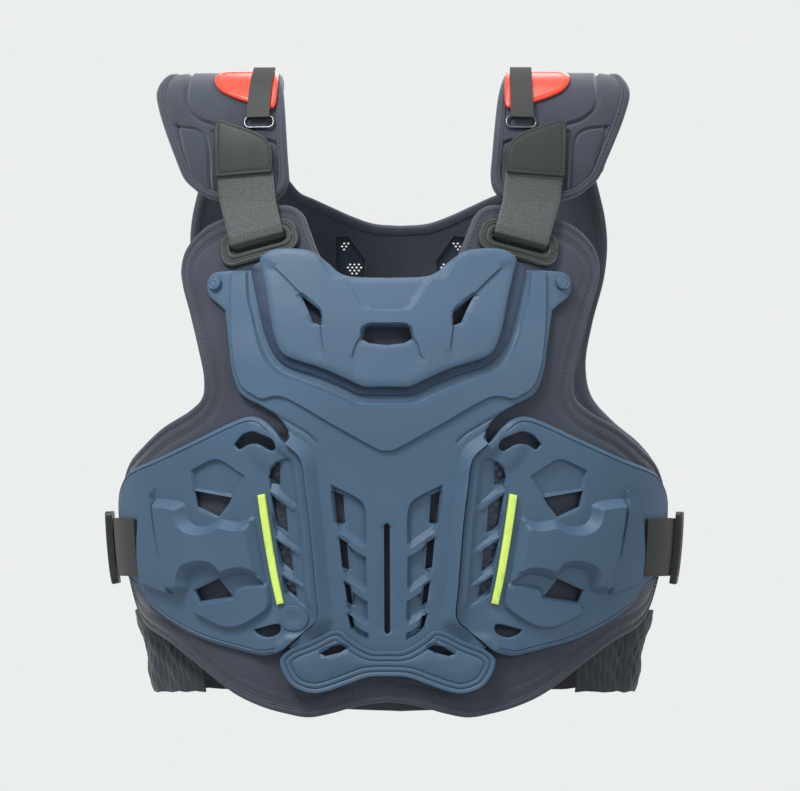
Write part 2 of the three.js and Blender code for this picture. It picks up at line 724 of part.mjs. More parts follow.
// Front panel
const panelEdge = rolled(mirrored(PANEL, medium));
const panelCloth = inset(panelEdge, bindingWidth);
add('front_panel', wall({
  outline: inset(panelCloth, clothGap),
  holes: SIDES.flatMap(([side]) => [slotOutline(side), meshWindow(side)]),
  from: 0,
  to: panelThickness,
  spacing: coarse,
}), NEOPRENE, 0.9);
add('front_panel_binding', ringBetween(
  panelEdge, panelCloth, -bindingProud, panelThickness - bindingProud, onTorso, coarse,
), BINDING, 0.85);

// Strap slot guards
for (const [side, tag] of SIDES) {
  const outline = roundedBox(
    guardCentre(side), slotLength + 2 * guardRim, slotHeight + 2 * guardRim,
    guardRim * 1.25, guardTurn(side), 4,
  );
  add(`strap_slot_guard_${tag}`, wall({
    outline, holes: [slotOutline(side)], from: guardFloor, to: guardTop, spacing: relief,
  }), WEBBING, 0.7);
}

// Main shell: it follows the wings' seam line at the seam's gap
const seam = smooth(WING_SEAM, front, fine);
const shellSeam = seam.slice(1, -1).map((p, i) => (
  p.clone().addScaledVector(inwardNormal(seam[i + 2], seam[i]), seamGap)
));
const shellHalf = [
  ...smooth(SHELL_EDGE, front, medium), ...shellSeam, ...smooth(SHELL_FOOT, front, medium),
];
const rungs = SIDES.flatMap(([side]) => LADDER.map((rows) => rolled(sided(rows.map(front), side))));
const slotCorners = [
  [-CENTRE_SLOT.halfAcross, CENTRE_SLOT.top], [CENTRE_SLOT.halfAcross, CENTRE_SLOT.top],
  [CENTRE_SLOT.halfAcross, CENTRE_SLOT.bottom], [-CENTRE_SLOT.halfAcross, CENTRE_SLOT.bottom],
];
const collarHoles = [
  rolled(mirroredPoints(COLLAR_WINDOW.map(front))),
  ...SIDES.map(([side]) => rolled(sided(COLLAR_VENT.map(front), side))),
];
add('main_shell', wall({
  outline: rolled(mirroredPoints(shellHalf)),
  holes: [...rungs, ...collarHoles, rolled(slotCorners.map(front))],
  from: shellBase,
  to: shellFace,
  raised: [
    { line: rolled(mirrored(UPPER_FORM, relief)), height: upperRise },
    { line: rolled(mirrored(CORE_FORM, relief)), height: coreRise },
  ],
  spacing: plate,
}), SHELL, 0.45);

// Collar base and collar plate, which stand on the shell's raised upper form
add('collar_base', wall({
  outline: rolled(mirrored(COLLAR_BASE, medium)),
  holes: collarHoles,
  from: collarBaseFloor,
  to: collarBaseFloor + collarBaseThickness,
  spacing: medium,
}), DEEP_BLUE, 0.5);
add('collar_plate', wall({
  outline: rolled(mirrored(COLLAR, medium)),
  holes: collarHoles,
  from: collarFloor,
  to: collarFloor + collarThickness,
  raised: [{ line: inset(rolled(mirrored(COLLAR, medium)), 8), height: collarRise, bevel: 6 }],
  spacing: medium,
}), SHELL, 0.45);

// Side wings
for (const [side, tag] of SIDES) {
  const rest = smooth([WING_SEAM.at(-1), ...WING_EDGE, WING_SEAM[0]], front, medium);
  const edge = [...seam, ...rest.slice(1, -1)];
  const windows = Object.values(WING_WINDOWS).map((rows) => rows.map(front));
  const louvres = LOUVRES.map(({ outer, inner, farOuter, farInner }) => (
    [farOuter, farInner, inner, outer].map(front)
  ));
  add(`side_wing_${tag}`, wall({
    outline: rolled(sided(edge, side)),
    holes: [...windows, ...louvres].map((hole) => rolled(sided(hole, side))),
    from: shellBase,
    to: shellFace,
    raised: [{ line: rolled(sided(closed(BRIDGE, fine), side)), height: bridgeRise }],
    spacing: plate,
  }), SHELL, 0.45);
}

// Vent meshes, which fill the windows of the front and back panels
function meshHoles(outline) {
  const clear = meshPitch * 0.62;
  return gridPoints(outline, [outline], meshPitch, clear).map((p) => circle(p, meshHole / 2, 4, Math.PI / 4));
}

for (const [side, tag] of SIDES) {
  const windows = [
    [`vent_mesh_${tag}`, meshWindow(side)],
    [`back_vent_mesh_${tag}`, backWindow(side)],
  ];
  for (const [name, opening] of windows) {
    const outline = inset(opening, gap);
    add(name, wall({
      outline, holes: meshHoles(outline), from: meshInset, to: meshInset + meshThickness,
    }), BLACK, 0.7);
  }
}

// Hem plate, accent stripes, rivets and badge
add('hem_plate', wall({
  outline: rolled(mirrored(HEM, medium)),
  holes: SIDES.map(([side]) => rolled(sided(HEM_WINDOW.map(front), side))),
  from: onShell,
  to: onShell + hemThickness,
  spacing: medium,
}), SHELL, 0.45);
for (const [side, tag] of SIDES) {
  add(`accent_stripe_${tag}`, wall({
    outline: STRIPE.map((row) => unrolledRow(row, side)),
    from: onShell,
    to: onShell + stripeThickness,
    spacing: fine,
  }), YELLOW, 0.5);
  const rivet = unrolledRow(RIVET_PLACE, side);
  add(`shell_rivet_${tag}`, wall({
    outline: circle(rivet, rivetRadius, 16),
    from: onShell,
    to: onShell + rivetHeight,
    raised: [{ line: circle(rivet, rivetRadius * 0.66, 12), height: 0.6, bevel: 1.2 }],
  }), SHELL, 0.4);
}
add('wing_badge', wall({
  outline: circle(unrolledRow(BADGE_PLACE, -1), badgeRadius, 20),
  from: onShell,
  to: onShell + badgeHeight,
}), SHELL, 0.4);

// Shoulder pads and what lies on them. Places on an arch are across and, downwards, along.
const onPad = (side) => ([across, along]) => new Vector2(
  side * (padInnerEdge + (across / 100) * padWidth),
  along >= 0 ? (-along / 100) * archFrontLength : (-along / 100) * archBackLength,
);
const nearWeb = (side) => ([across, along]) => new Vector2(
  side * (webCentre - (across / 100) * webWidth),
  (-along / 100) * archFrontLength,
);

for (const [side, tag] of SIDES) {
  const edge = closed(PAD, medium, onPad(side));
  const cloth = inset(edge, bindingWidth);
  add(`shoulder_pad_${tag}`, wall({
    outline: inset(cloth, clothGap), from: 0, to: padThickness, surface: onArch, spacing: medium,
  }), NEOPRENE, 0.9);
  add(`pad_binding_${tag}`, ringBetween(
    edge, cloth, bindingProud, padThickness - bindingProud, onArch, coarse,
  ), BINDING, 0.85);
  add(`strap_patch_${tag}`, wall({
    outline: closed(PATCH, medium, nearWeb(side)),
    from: patchLayer,
    to: patchLayer + patchThickness,
    surface: onArch,
    spacing: fine,
  }), WEBBING, 0.7);
  add(`brace_tab_${tag}`, wall({
    outline: closed(TAB, medium, nearWeb(side)),
    from: strapLayer,
    to: strapLayer + tabThickness,
    surface: onArch,
    spacing: fine,
  }), RED, 0.4);
}

// Webbing: down the pad, off its end and through the slot, then down behind the panel.
// Columns: along the arch in percent, or height below the slot's centre, and stand-off.
const loopTop = 0.57;
const webTop = 0.75;
const inSlot = (side, across, above) => (
  new Vector2(across, above).rotateAround(new Vector2(), guardTurn(side)).add(guardCentre(side))
);
for (const [side, tag] of SIDES) {
  const slotCentre = front(GUARD_PLACE).x;
  const acrossWeb = Array.from({ length: 4 }, (_, i) => (i / 3 - 0.5) * webWidth);
  const columnsAt = (share) => {
    const centre = webCentre + (slotCentre - webCentre) * share;
    return acrossWeb.map((across) => side * centre + across);
  };
  const middle = strapLayer + webThickness / 2;
  const rows = [];
  const padSteps = 5;
  for (let i = 0; i <= padSteps; i += 1) {
    const share = i / padSteps;
    const length = archFrontLength * (webTop + share * (1 - webTop));
    rows.push(columnsAt(share * 0.6).map((x) => onArch(new Vector2(x, -length), middle)));
  }
  const slotRun = [
    [7, guardTop + 2.2], [2.2, guardTop + 0.9], [0.4, panelThickness], [0, 0], [-0.5, -3.5], [-9, -6],
  ];
  for (const [above, out] of slotRun) {
    rows.push(acrossWeb.map((across) => onTorso(inSlot(side, across, above), out)));
  }
  add(`shoulder_strap_${tag}`, strip(rows.reverse(), webThickness), WEBBING, 0.85);
}

// Narrow tab straps and wire loops
for (const [side, tag] of SIDES) {
  const columns = [-1, 0, 1].map((i) => side * tabStrapCentre + (i * tabStrapWidth) / 2);
  const middle = strapLayer + tabThickness + layerGap + tabStrapThickness / 2;
  const rows = [];
  const first = 0.22 * archFrontLength;
  const last = loopTop * archFrontLength + loopWire;
  const steps = 6;
  for (let i = 0; i <= steps; i += 1) {
    const length = first + (i / steps) * (last - first);
    rows.push(columns.map((x) => onArch(new Vector2(x, -length), middle)));
  }
  add(`tab_strap_${tag}`, strip(rows.reverse(), tabStrapThickness), WEBBING, 0.85);
  const centre = new Vector2(side * tabStrapCentre, -(loopTop * archFrontLength + loopHeight / 2));
  const route = roundedBox(centre, loopWidth, loopHeight, loopHeight * 0.4, 0, 2);
  const middleOfWire = padThickness + clothGap * 0.7 + loopWire / 2;
  const centres = route.map((p) => onArch(p, middleOfWire));
  const normals = route.map((p, i) => onArch(p, middleOfWire + 1).sub(centres[i]));
  add(`strap_loop_${tag}`, wireRing(centres, normals, loopWire / 2), STEEL, 0.35, 0.9);
}

// Back panel
const backRows = BACK_PANEL.map(([across, down, corner]) => [across, Math.max(down, backTop), corner]);
const backEdge = rolled(mirrored(backRows, medium), true);
const backCloth = inset(backEdge, bindingWidth);
add('back_panel', wall({
  outline: inset(backCloth, clothGap),
  holes: SIDES.map(([side]) => backWindow(side)),
  from: 0,
  to: panelThickness,
}), NEOPRENE, 0.9);
add('back_panel_binding', ringBetween(
  backEdge, backCloth, -bindingProud, panelThickness - bindingProud, onTorso, coarse,
), BINDING, 0.85);

// Waist belt: a ruched band from behind one front edge, round the back, to the other
{
  const steps = beltFolds * 4;
  const start = 0.27 * Math.PI;
  const heights = [0, 0.5, 1];
  const rows = heights.map((share) => {
    const z = panelTop - panelHeight + beltRise + (share - 0.5) * beltHeight;
    return Array.from({ length: steps + 1 }, (_, i) => {
      const angle = start + (i / steps) * (2 * Math.PI - 2 * start);
      const fold = Math.sin((i / steps) * beltFolds * 2 * Math.PI) * beltRipple;
      const ease = Math.sin(share * Math.PI) * 0.6 + 0.4;
      const out = -beltThickness / 2 - beltRipple - bindingProud - beltGap + fold * ease;
      return standOff(torso, angle, z, out);
    });
  });
  add('waist_belt', strip(rows, beltThickness), NEOPRENE, 0.9);
}

// Side straps and buckles
for (const [side, tag] of SIDES) {
  const z = panelTop - sideStrapDrop;
  const steps = 9;
  const [start, end] = [0.36 * Math.PI, 0.66 * Math.PI];
  const middle = onShell + sideStrapThickness / 2;
  const rows = [-1, 0, 1].map((share) => (
    Array.from({ length: steps + 1 }, (_, i) => {
      const angle = side > 0 ? start + (i / steps) * (end - start) : -end + (i / steps) * (end - start);
      return standOff(torso, angle, z + (share * sideStrapWidth) / 2, middle);
    })
  ));
  add(`side_strap_${tag}`, strip(rows, sideStrapThickness), WEBBING, 0.85);
  const centre = new Vector2(side * 0.5 * Math.PI * girthRadius, z);
  const buckleFloor = onShell + sideStrapThickness + layerGap;
  const half = buckleLength / 2 - buckleWindow;
  add(`side_buckle_${tag}`, wall({
    outline: roundedBox(centre, buckleLength, buckleHeight, 4, 0, 2),
    holes: [-1, 1].map((s) => (
      roundedBox(new Vector2(centre.x + (s * half) / 1.6, z), buckleWindow, sideStrapWidth - 2, 1.5, 0, 1)
    )),
    from: buckleFloor,
    to: buckleFloor + buckleThickness,
    spacing: medium,
  }), BLACK, 0.5);
}

export default vest;
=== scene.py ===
# A roost deflector: padded panels under moulded shells, with straps over the shoulders.
# Sizes are in millimetres until a mesh is made. +Z is up and the chest faces -Y.
import math

import bpy
import numpy as np
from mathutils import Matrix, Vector
from mathutils.geometry import delaunay_2d_cdt


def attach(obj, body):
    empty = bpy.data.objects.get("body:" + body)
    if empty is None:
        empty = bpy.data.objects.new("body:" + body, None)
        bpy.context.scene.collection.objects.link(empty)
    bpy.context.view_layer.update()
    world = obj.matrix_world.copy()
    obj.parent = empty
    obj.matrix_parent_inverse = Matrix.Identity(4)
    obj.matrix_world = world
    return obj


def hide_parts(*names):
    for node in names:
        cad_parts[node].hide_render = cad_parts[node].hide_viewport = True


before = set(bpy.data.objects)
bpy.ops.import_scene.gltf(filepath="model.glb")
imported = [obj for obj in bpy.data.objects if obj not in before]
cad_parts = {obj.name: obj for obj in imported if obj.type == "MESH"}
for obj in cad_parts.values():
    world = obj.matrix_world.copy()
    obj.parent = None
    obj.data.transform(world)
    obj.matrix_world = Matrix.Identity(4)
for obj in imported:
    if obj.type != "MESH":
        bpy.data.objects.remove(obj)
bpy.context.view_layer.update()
MM = 0.001

# The torso, as the solids have it
BODY_HALF_WIDTH = 192
BODY_FRONT_DEPTH = 122
BODY_BACK_DEPTH = 122
SQUARENESS = 2.3
PANEL_TOP = -88
PANEL_HEIGHT = 368
GIRTH_RADIUS = (BODY_HALF_WIDTH + BODY_FRONT_DEPTH) / 2
PANEL = 6
PLATE_HALF_WIDTH = BODY_HALF_WIDTH + PANEL

# Walls and layers
GAP = 0.9
BINDING_WIDTH = 6.5
BINDING_PROUD = 0.8
SHELL_FLOOR = PANEL + GAP
SHELL = SHELL_FLOOR + 3
ON_SHELL = SHELL + GAP
BAND_THICKNESS = 1.5
COLLAR_FLOOR = ON_SHELL + BAND_THICKNESS + GAP
COLLAR = COLLAR_FLOOR + 4
HEM_THICKNESS = 4
PAD = 10
STRAP_LAYER = PAD + GAP
WEB_THICKNESS = 2
WEB_WIDTH = 39
WEB_CENTRE = 102.5
WEB_RIB = 1.55
PATCH_LAYER = STRAP_LAYER + WEB_THICKNESS + GAP
PATCH_THICKNESS = 2
GUARD_FLOOR = PANEL + GAP
GUARD_THICKNESS = 2.6
GUARD_TILT = 14.5
GUARD_RIM = 8.2
SLOT_LENGTH = 41.4
SLOT_HEIGHT = 8.8
SLOT_CORNER = SLOT_HEIGHT / 2 - 0.5
TAB_THICKNESS = 2.7
TAB_STRAP_CENTRE = 92.5
TAB_STRAP_WIDTH = 15.5
TAB_STRAP_THICKNESS = 1.6
# Where narrow strap, loop and wide webbing begin, as shares of the way down a pad's front
TAB_STRAP_TOP = 0.22
LOOP_TOP = 0.57
WEB_TOP = 0.75
LOOP_WIDTH = 20
LOOP_HEIGHT = 8
LOOP_WIRE = 2
PAD_INNER_EDGE = 72
PAD_WIDTH = 98
PAD_FRONT_DROP = 86
PAD_BACK_DROP = 62
PAD_SEAM = 0
BELT_HEIGHT = 60
BELT_RISE = 47
SIDE_STRAP_DROP = 245
SIDE_STRAP_WIDTH = 40
MESH_FLOOR = 2.4
MESH_TOP = 3.6

# The pads' arch: its reach forward and back and its spread, as shares of the torso's sizes
ARCH_FRONT_REACH = 0.715
ARCH_BACK_REACH = 0.806
ARCH_SPREAD = 0.91

# The mouldings' relief
BANK_HEIGHT = 8
BANK_FOOT = 84.5
LADDER_DEPTH = 4.2
RIB_RAMP = 4.0
RIB_FLAT = 3.6
LOUVRE_DEPTH = 4.7

# Meshing: a row's height by its pitch, rings inside an edge as shares of its rounding, the cell
# in which points are merged, and the share of an offset that a point keeps if it isn't folded back
STAGGER = 0.87
EDGE_STEPS = (0.08, 0.35, 1.0)
MERGE_CELL = 0.25
NOT_FOLDED_BACK = 0.93

# Sections of the torso: down in percent of the panel's height, then half width, front depth
# and back depth in percent of the torso's sizes
SECTIONS = np.array([
    [-26, 88, 55, 70], [0, 91, 72, 84], [12, 94, 84, 93], [25, 96, 94, 98], [40, 98, 100, 100],
    [55, 100, 99, 97], [70, 98.5, 96, 92], [82, 94, 92, 88], [104, 89, 87, 85],
])

# Outlines seen from the front: across in percent of the plate's half width, down in percent
# of the panel's height, and 1 at a sharp corner. The first ones are halves.
FRONT_PANEL = [
    [0, 14.5], [12, 14.3], [18, 13.5], [25.1, 10.4], [29.5, 5.1], [32, 2], [36, 0.3], [42, 0],
    [61, 2.3], [69.7, 4.7], [75.9, 8.6], [77.7, 12.5], [77, 15.8], [74.1, 21.3], [70.8, 28.2],
    [68.6, 34], [69.2, 37.6], [73.4, 39.9], [84, 43.4], [91.8, 47.2], [96.5, 50], [99, 53.4],
    [99.8, 58], [99, 68], [96.5, 75], [93.5, 80], [90.5, 82.5], [82, 85.4], [73.5, 88.9],
    [65.5, 92.3], [57, 95.6], [47, 98], [38, 99.3], [30, 100], [22, 99.3], [10, 97.6], [0, 96.9],
]
BACK_TOP = (PANEL_TOP + PAD_BACK_DROP + PAD_SEAM) / PANEL_HEIGHT * 100
BACK_PANEL = [
    [0, 3.4], [10, 3], [18, 1.6], [26, -0.3], [33, -2], [38, -3.2], [42, -5.6, 1], [42.2, BACK_TOP, 1],
    [73.6, BACK_TOP, 1], [75.5, -3], [77.5, 2], [78.3, 7.5], [77, 14], [72.5, 23], [70, 31],
    [72, 37], [80, 42], [90, 46.5], [96, 51], [97.5, 60], [96.5, 70], [92.5, 79], [86, 86],
    [72, 92], [52, 96.5], [28, 99.2], [0, 100],
]
# Where the front panel is hollowed behind the plates' openings
PANEL_HOLLOWS = [
    [[-1, 58], [10, 50], [24, 50], [19, 84], [-1, 84]],
    [[33, 44], [58, 44], [76, 52], [76, 79], [54, 83], [28, 83]],
]
SHELL_EDGE = [
    [0, 16.8], [14, 16.5], [20, 14.4], [26, 12.4], [34, 11.6], [42, 12], [48.5, 13.2, 1],
    [59.5, 13.3], [64.6, 13.8], [66.4, 15.6], [65.6, 18], [62, 19.8], [59.7, 20.9, 1],
    [57.7, 28.2], [56.3, 33], [53.4, 36.8], [46.7, 39.1], [39.3, 41.5], [36, 43.9],
]
SHELL_FOOT = [
    [35.4, 86.4], [36.6, 89], [34.7, 92], [29.6, 93.5], [17.3, 91.6], [7.8, 89.7], [0, 89.4],
]
COLLAR_PLATE = [
    [0, 15.2], [13.7, 14.9], [17.6, 14.2], [22.4, 12], [27.5, 10.3], [33.7, 9.7], [39.2, 9.7],
    [43.4, 10.2], [46.3, 11.5], [45.4, 14], [43.6, 18.4], [40.2, 26.8], [37.4, 29.6],
    [31.9, 30.9], [24.6, 32.1], [17.3, 33.7], [10.8, 35.3], [8.2, 35.8], [0, 35.8],
]
COLLAR_BAND = [
    [0, 16.2], [14, 15.9], [19, 14.4], [25, 12.1], [34, 11], [42, 11], [46.5, 11.7],
    [49.9, 12.9], [49.4, 15], [48, 18.4], [45, 25], [41.5, 29.2], [37.7, 31.3], [33, 32.4],
    [24.6, 33.8], [15.5, 35.8], [10.8, 37], [6, 37.3], [0, 37.3],
]
HEM = [
    [0, 86.7], [5.6, 86.6], [12.9, 84.4], [16.9, 82.7], [20.6, 82.8], [28.2, 84.8], [36.2, 86.7],
    [39, 88.5], [36.9, 92], [34.4, 93.6], [30.7, 94.6], [26, 95], [20.9, 94.4], [13.6, 93],
    [7.1, 91.8], [0, 91.6],
]
COLLAR_WINDOW = [[0, 24.1], [6.4, 24.1], [8.2, 24.5], [9.1, 26.2], [8.9, 26.9], [6.4, 27.6], [0, 28]]
COLLAR_VENT = [
    [31.5, 18.4], [24.5, 21.3], [23.8, 22.3], [23.8, 24.3], [26.7, 23.7], [28.2, 21.9], [30.7, 19.2],
]
WING_SEAM = [
    [37.8, 46], [34.9, 47.2], [31.6, 48.9], [30.2, 51], [29.7, 53.6], [27.9, 61.4], [25.7, 75.1],
    [25, 78.7], [25.9, 80.8], [29, 82.4], [33.7, 84.5], [37.4, 86.3],
]
WING_EDGE = [
    [41.1, 87.3], [46, 87.7], [57.7, 86.3], [65.3, 85.1], [72.8, 83.4], [79.6, 81.2], [84, 79.4],
    [88, 77.4], [90.5, 75], [95.3, 72.6], [98, 66], [99, 60], [98.8, 56.5], [97.5, 54], [95, 52.1],
    [84, 49.3], [69, 45.4], [57.8, 42.5], [53, 41.5], [49.7, 41.2], [46, 41.7], [42.3, 43.2],
]
BOOMERANG = [
    [55.9, 46.6], [53, 44.8], [49, 44.1], [46, 44.6], [40.9, 46], [40.4, 47.2], [42, 47.8],
    [47.5, 46.5], [51, 46.7], [54.3, 47.6],
]
UPPER_VENT = [[70.6, 55.6], [56.9, 56.9], [58, 58.2], [61.7, 60.7], [65.4, 59.7], [69.5, 58.7]]
LOWER_VENT = [[70.6, 74.8], [61.7, 72.5], [56.6, 76], [68.8, 77]]
LOWER_SLOT = [[48.8, 82.6], [39.3, 81.5], [39.2, 83], [43.6, 84.1], [48, 83.3]]
BRIDGE = [
    [85.4, 56.9], [73.8, 58.2], [73.2, 60.1], [72.2, 61.5], [70, 62.3], [66.4, 62.4], [62.8, 61.6],
    [60.6, 61.1], [54, 61.6], [48.5, 60.2, 1], [43.9, 74.2, 1], [47.3, 73], [51.4, 71.8],
    [55.8, 72], [60.6, 72.8], [63.5, 70.9], [66, 70.5], [68.8, 70.7], [71.5, 71.3], [72.7, 72.7],
    [72.8, 74.7], [79.6, 75.1],
]
LADDER = [
    [[19.5, 55.6], [16.2, 56.4], [15.5, 61.8], [18.4, 61.8]],
    [[17.6, 64.6], [14.7, 65.5], [14, 70.8], [16.5, 70.4]],
    [[15.8, 73], [13.6, 73.8], [12.9, 77.7], [14.7, 77.1]],
    [[14.7, 79.4], [12.9, 79.8], [12.2, 82.4], [13.6, 81.8]],
]
LOUVRE_HOLES = [
    [[43.3, 53], [42.5, 51.3], [40, 49.9], [39.3, 50.3], [39.3, 54.4]],
    [[42.5, 56.2], [36.7, 58.5], [36.4, 63.6], [40.7, 62.2]],
    [[40.7, 65], [35.3, 67.1], [34.5, 71.2], [38.5, 69.5]],
    [[38.5, 72], [33.8, 73.8], [33.1, 76.3], [36.7, 74.9]],
]
HEM_WINDOW = [[24.6, 87.2], [20.2, 85.8], [16.9, 85.5], [14.7, 86.2], [17.3, 87], [22.4, 87.7]]
MESH_WINDOW = [[43.4, 50], [35.2, 50], [31, 78.4], [38.6, 78.4]]
BACK_WINDOW = [
    [24.7, 5.5], [20.4, 5.3], [13.5, 10.2], [13.8, 12.9], [15.3, 16.4], [20, 16.4], [24.7, 11.5],
]
# Where the mesh behind the back windows is pierced, and how far round each place
BACK_VENT_PLACES = [[21.3, 7.4], [17.8, 11.9]]
BACK_VENT_REACH = [2.8, 4.6]
STRIPE = [[47, 56.4], [44.4, 56.1], [37.8, 77.2], [40.2, 77.5]]
CENTRE_SLOT = [[0, 61.8], [0.5, 61.9], [1.1, 62.4], [1.1, 82.8], [0.5, 83.3], [0, 83.4]]
RIVET_PLACE = [63, 15.7]
BADGE_PLACE = [34.3, 80.2]
GUARD_PLACE = [48.7, 7.7]

# Lines of the mouldings' relief, in the outlines' columns
UPPER_FORM = [
    [0, 39.3], [11.1, 39.1], [15.5, 38], [24.6, 36], [32, 34.6], [37.5, 33.5], [40.4, 32.5],
    [43.4, 30.9], [45.5, 28.8], [47, 26.2], [48.9, 22.3], [50.7, 18.4], [51.4, 13.4, 1],
    [57.6, 13.6, 1],
    [57.8, 18], [57.4, 24], [56.6, 28.2], [55.3, 32.4], [52.6, 36], [47.2, 38, 1], [44.8, 38.3],
    [41.2, 37.8], [37.5, 38], [31.8, 39.5], [20.9, 42.8], [13.6, 44.9], [5.6, 47.2], [2.7, 47.9], [0, 48],
]
# Its first rows are the neckline's side, round the recess in which the collar lies
UPPER_FORM_NECK_ROWS = 13
RIM_GROOVE = [[47.6, 38.9], [43.7, 40], [39.3, 41.3], [33.8, 43], [28.3, 44.8], [26.1, 46]]
CORE_SIDE = [
    [34.4, 44.6, 1], [29.4, 46.4], [26.7, 48.6], [24.7, 55.6], [22.5, 66.3], [20.6, 77.1],
    [19.6, 80.8], [24, 83.6, 1],
]
LADDER_WELL = [
    [20.5, 54.2, 1], [9.3, 57.5], [7.8, 59.1], [7.5, 69.3], [6.7, 84.9, 1], [12.5, 83], [13.6, 82],
    [15.8, 73.2], [18.4, 63.4],
]
LADDER_RIBS = [[[21.5, 60.5], [3.5, 66.9]], [[19.2, 69.6], [3.5, 75.3]], [[17.9, 76.8], [3.5, 81.6]]]
NECK_CREASE = [
    [25.8, 11.2], [23.9, 12.9], [21.7, 14.9], [19.9, 15.7], [16.2, 15.8], [14.4, 16.8], [11.8, 19],
    [9.6, 20.7], [8.2, 21.3], [2.7, 21.7], [0, 21.7],
]
VENT_CREASE = [
    [40, 13.5], [35.6, 15.8], [31.5, 18], [24.5, 21.1], [23.6, 22.2], [23.6, 24.6], [22.7, 28.4],
]
WINDOW_CREASE = [[0, 23.8], [6.4, 23.8], [8.4, 24.2], [9.5, 26], [11.5, 27.8], [12.9, 30.1]]
UPPER_WELL = [
    [71.9, 51.7, 1], [67.2, 50.3], [63.9, 49.5], [61.4, 49.5], [57.4, 50.7], [51.7, 52.8, 1],
    [56.9, 56.7, 1], [70.8, 55.4, 1],
]
LOWER_LOBE = [
    [69.3, 77.1, 1], [56.5, 75.9, 1], [55.8, 74.4], [50.7, 73.6], [43.3, 73.4, 1], [42.2, 77.5],
    [43.3, 78.8], [48.8, 81], [54.4, 82.4], [59.8, 82.4], [65.3, 81], [70.7, 79],
]
FLAP_LINE = [[84, 56], [83.2, 58.7], [81.2, 65.3], [79.6, 69.3], [78.2, 73.2], [77.6, 75.3]]
OUTER_FOLD = [
    [84.6, 55, 1], [88.3, 56.8, 1], [89.9, 62], [90.3, 68], [89.3, 73.4, 1], [78.6, 75.7, 1],
    [79.7, 72.6, 1],
    [82.6, 66], [85, 57.2, 1],
]
LOUVRE_WELL = [
    [43.3, 53.4], [42.9, 51.7], [41.1, 50.3], [38.2, 49.3], [36, 49], [33.5, 49.5, 1], [31.3, 58.7],
    [30.2, 67.1], [29.5, 73.8], [28.6, 78.6, 1], [37.8, 75.6, 1], [39.3, 70.2], [41.5, 63], [43.3, 55.6],
]
# The louvre is deepest at its outer end and runs out at the inner one
LOUVRE_INNER_END = [[33.5, 49.5], [31.3, 58.7], [30.2, 67.1], [28.6, 78.6]]
LOUVRE_OUTER_END = [[43.3, 50], [43.3, 55.6], [41.5, 63], [39.3, 70.2], [37.8, 75.6]]
# Ribs of the louvre: outer end, inner end and width at the outer end
LOUVRE_RIBS = [
    [[43.6, 53], [31.6, 58.8], 6.5], [[41.8, 62.4], [30.4, 67.3], 5.2], [[39.6, 69.6], [29.4, 74], 4.2],
    [[38.1, 75], [28.4, 79], 3.4],
]

# A shoulder pad: across in percent of its width, along in percent of its front or back arch
PAD_OUTLINE = [
    [9, 10], [6.6, 34], [4.4, 47], [1, 76], [0, 86], [1.2, 92], [4.5, 96], [10, 99], [30, 100],
    [52, 99], [62, 96.4], [68, 93], [75, 88], [82, 76.5], [90, 61], [95, 48], [97, 40],
    [97.2, 33], [95.5, 20], [92.7, 6], [91.8, -10], [90, -40], [83.4, -75], [75, -100, 1],
    [11.6, -100, 1], [12, -60], [10, -25],
]
ARCH_FRONT = np.array([[0, 0], [33, 2], [66, 14], [87, 46], [100, 100]])
ARCH_BACK = np.array([[0, 0], [35, 5], [68, 26], [90, 62], [100, 100]])
PATCH_OUTLINE = [
    [-51, 62], [-47, 59.6], [-41, 59], [-25, 60.6], [34, 67.6], [47, 71], [53, 76],
    [53, 85.5, 1], [-47, 87.5, 1],
]
TAB_OUTLINE = [
    [52, 24], [54, 50], [50, 52.6], [42, 52.6], [10, 50], [-27, 46], [-50, 42], [-60, 38], [-64, 31],
    [-61, 27], [-52, 24], [-30, 23],
]
# Sewn channels of a pad, in the pad outline's columns, with width and depth
PAD_CHANNELS = [
    ([[76, -30], [76, 30], [73, 50], [64, 57], [54, 60]], 5, 1.3),
    ([[80, 60], [61, 65], [55, 96]], 4, 1.1),
    ([[80, 60], [74, 78], [66, 93], [55, 96]], 4, 1.1),
    ([[51, 64], [51, 96]], 5, 1.4),
    ([[53, 64], [44, 62], [22, 68], [8, 71], [7, 84], [6, 96]], 4, 1.3),
    ([[91, 10], [91, 40], [86, 58], [76, 80], [66, 92]], 3, 0.8),
    ([[13, -60], [12, 20], [10, 55]], 3, 0.7),
]
SIDES = [(-1, "l"), (1, "r")]


# Surfaces
def along(table, value, column):
    """A column of a table at a value of its first one, by a smooth curve through the rows."""
    rows = table[:, 0]
    last = len(table) - 1
    value = np.asarray(value, float)
    row = np.clip(np.searchsorted(rows, value, side="left") - 1, 0, last - 1)
    low, high = np.maximum(np.arange(last + 1) - 1, 0), np.minimum(np.arange(last + 1) + 1, last)
    slopes = (table[high, column] - table[low, column]) / (rows[high] - rows[low])
    step = rows[row + 1] - rows[row]
    t = np.clip((value - rows[row]) / step, 0, 1)
    rise = table[row + 1, column] - table[row, column]
    curve = (slopes[row] * (1 - t) - slopes[row + 1] * t) * step + rise * (2 * t - 1)
    return table[row, column] + rise * t + t * (1 - t) * curve


def down_at(z):
    return (PANEL_TOP - z) / PANEL_HEIGHT * 100


def height_at(down):
    return PANEL_TOP - down / 100 * PANEL_HEIGHT


def half_width_at(z):
    return BODY_HALF_WIDTH * along(SECTIONS, down_at(z), 1) / 100


def power(value, exponent):
    return np.sign(value) * np.abs(value) ** exponent


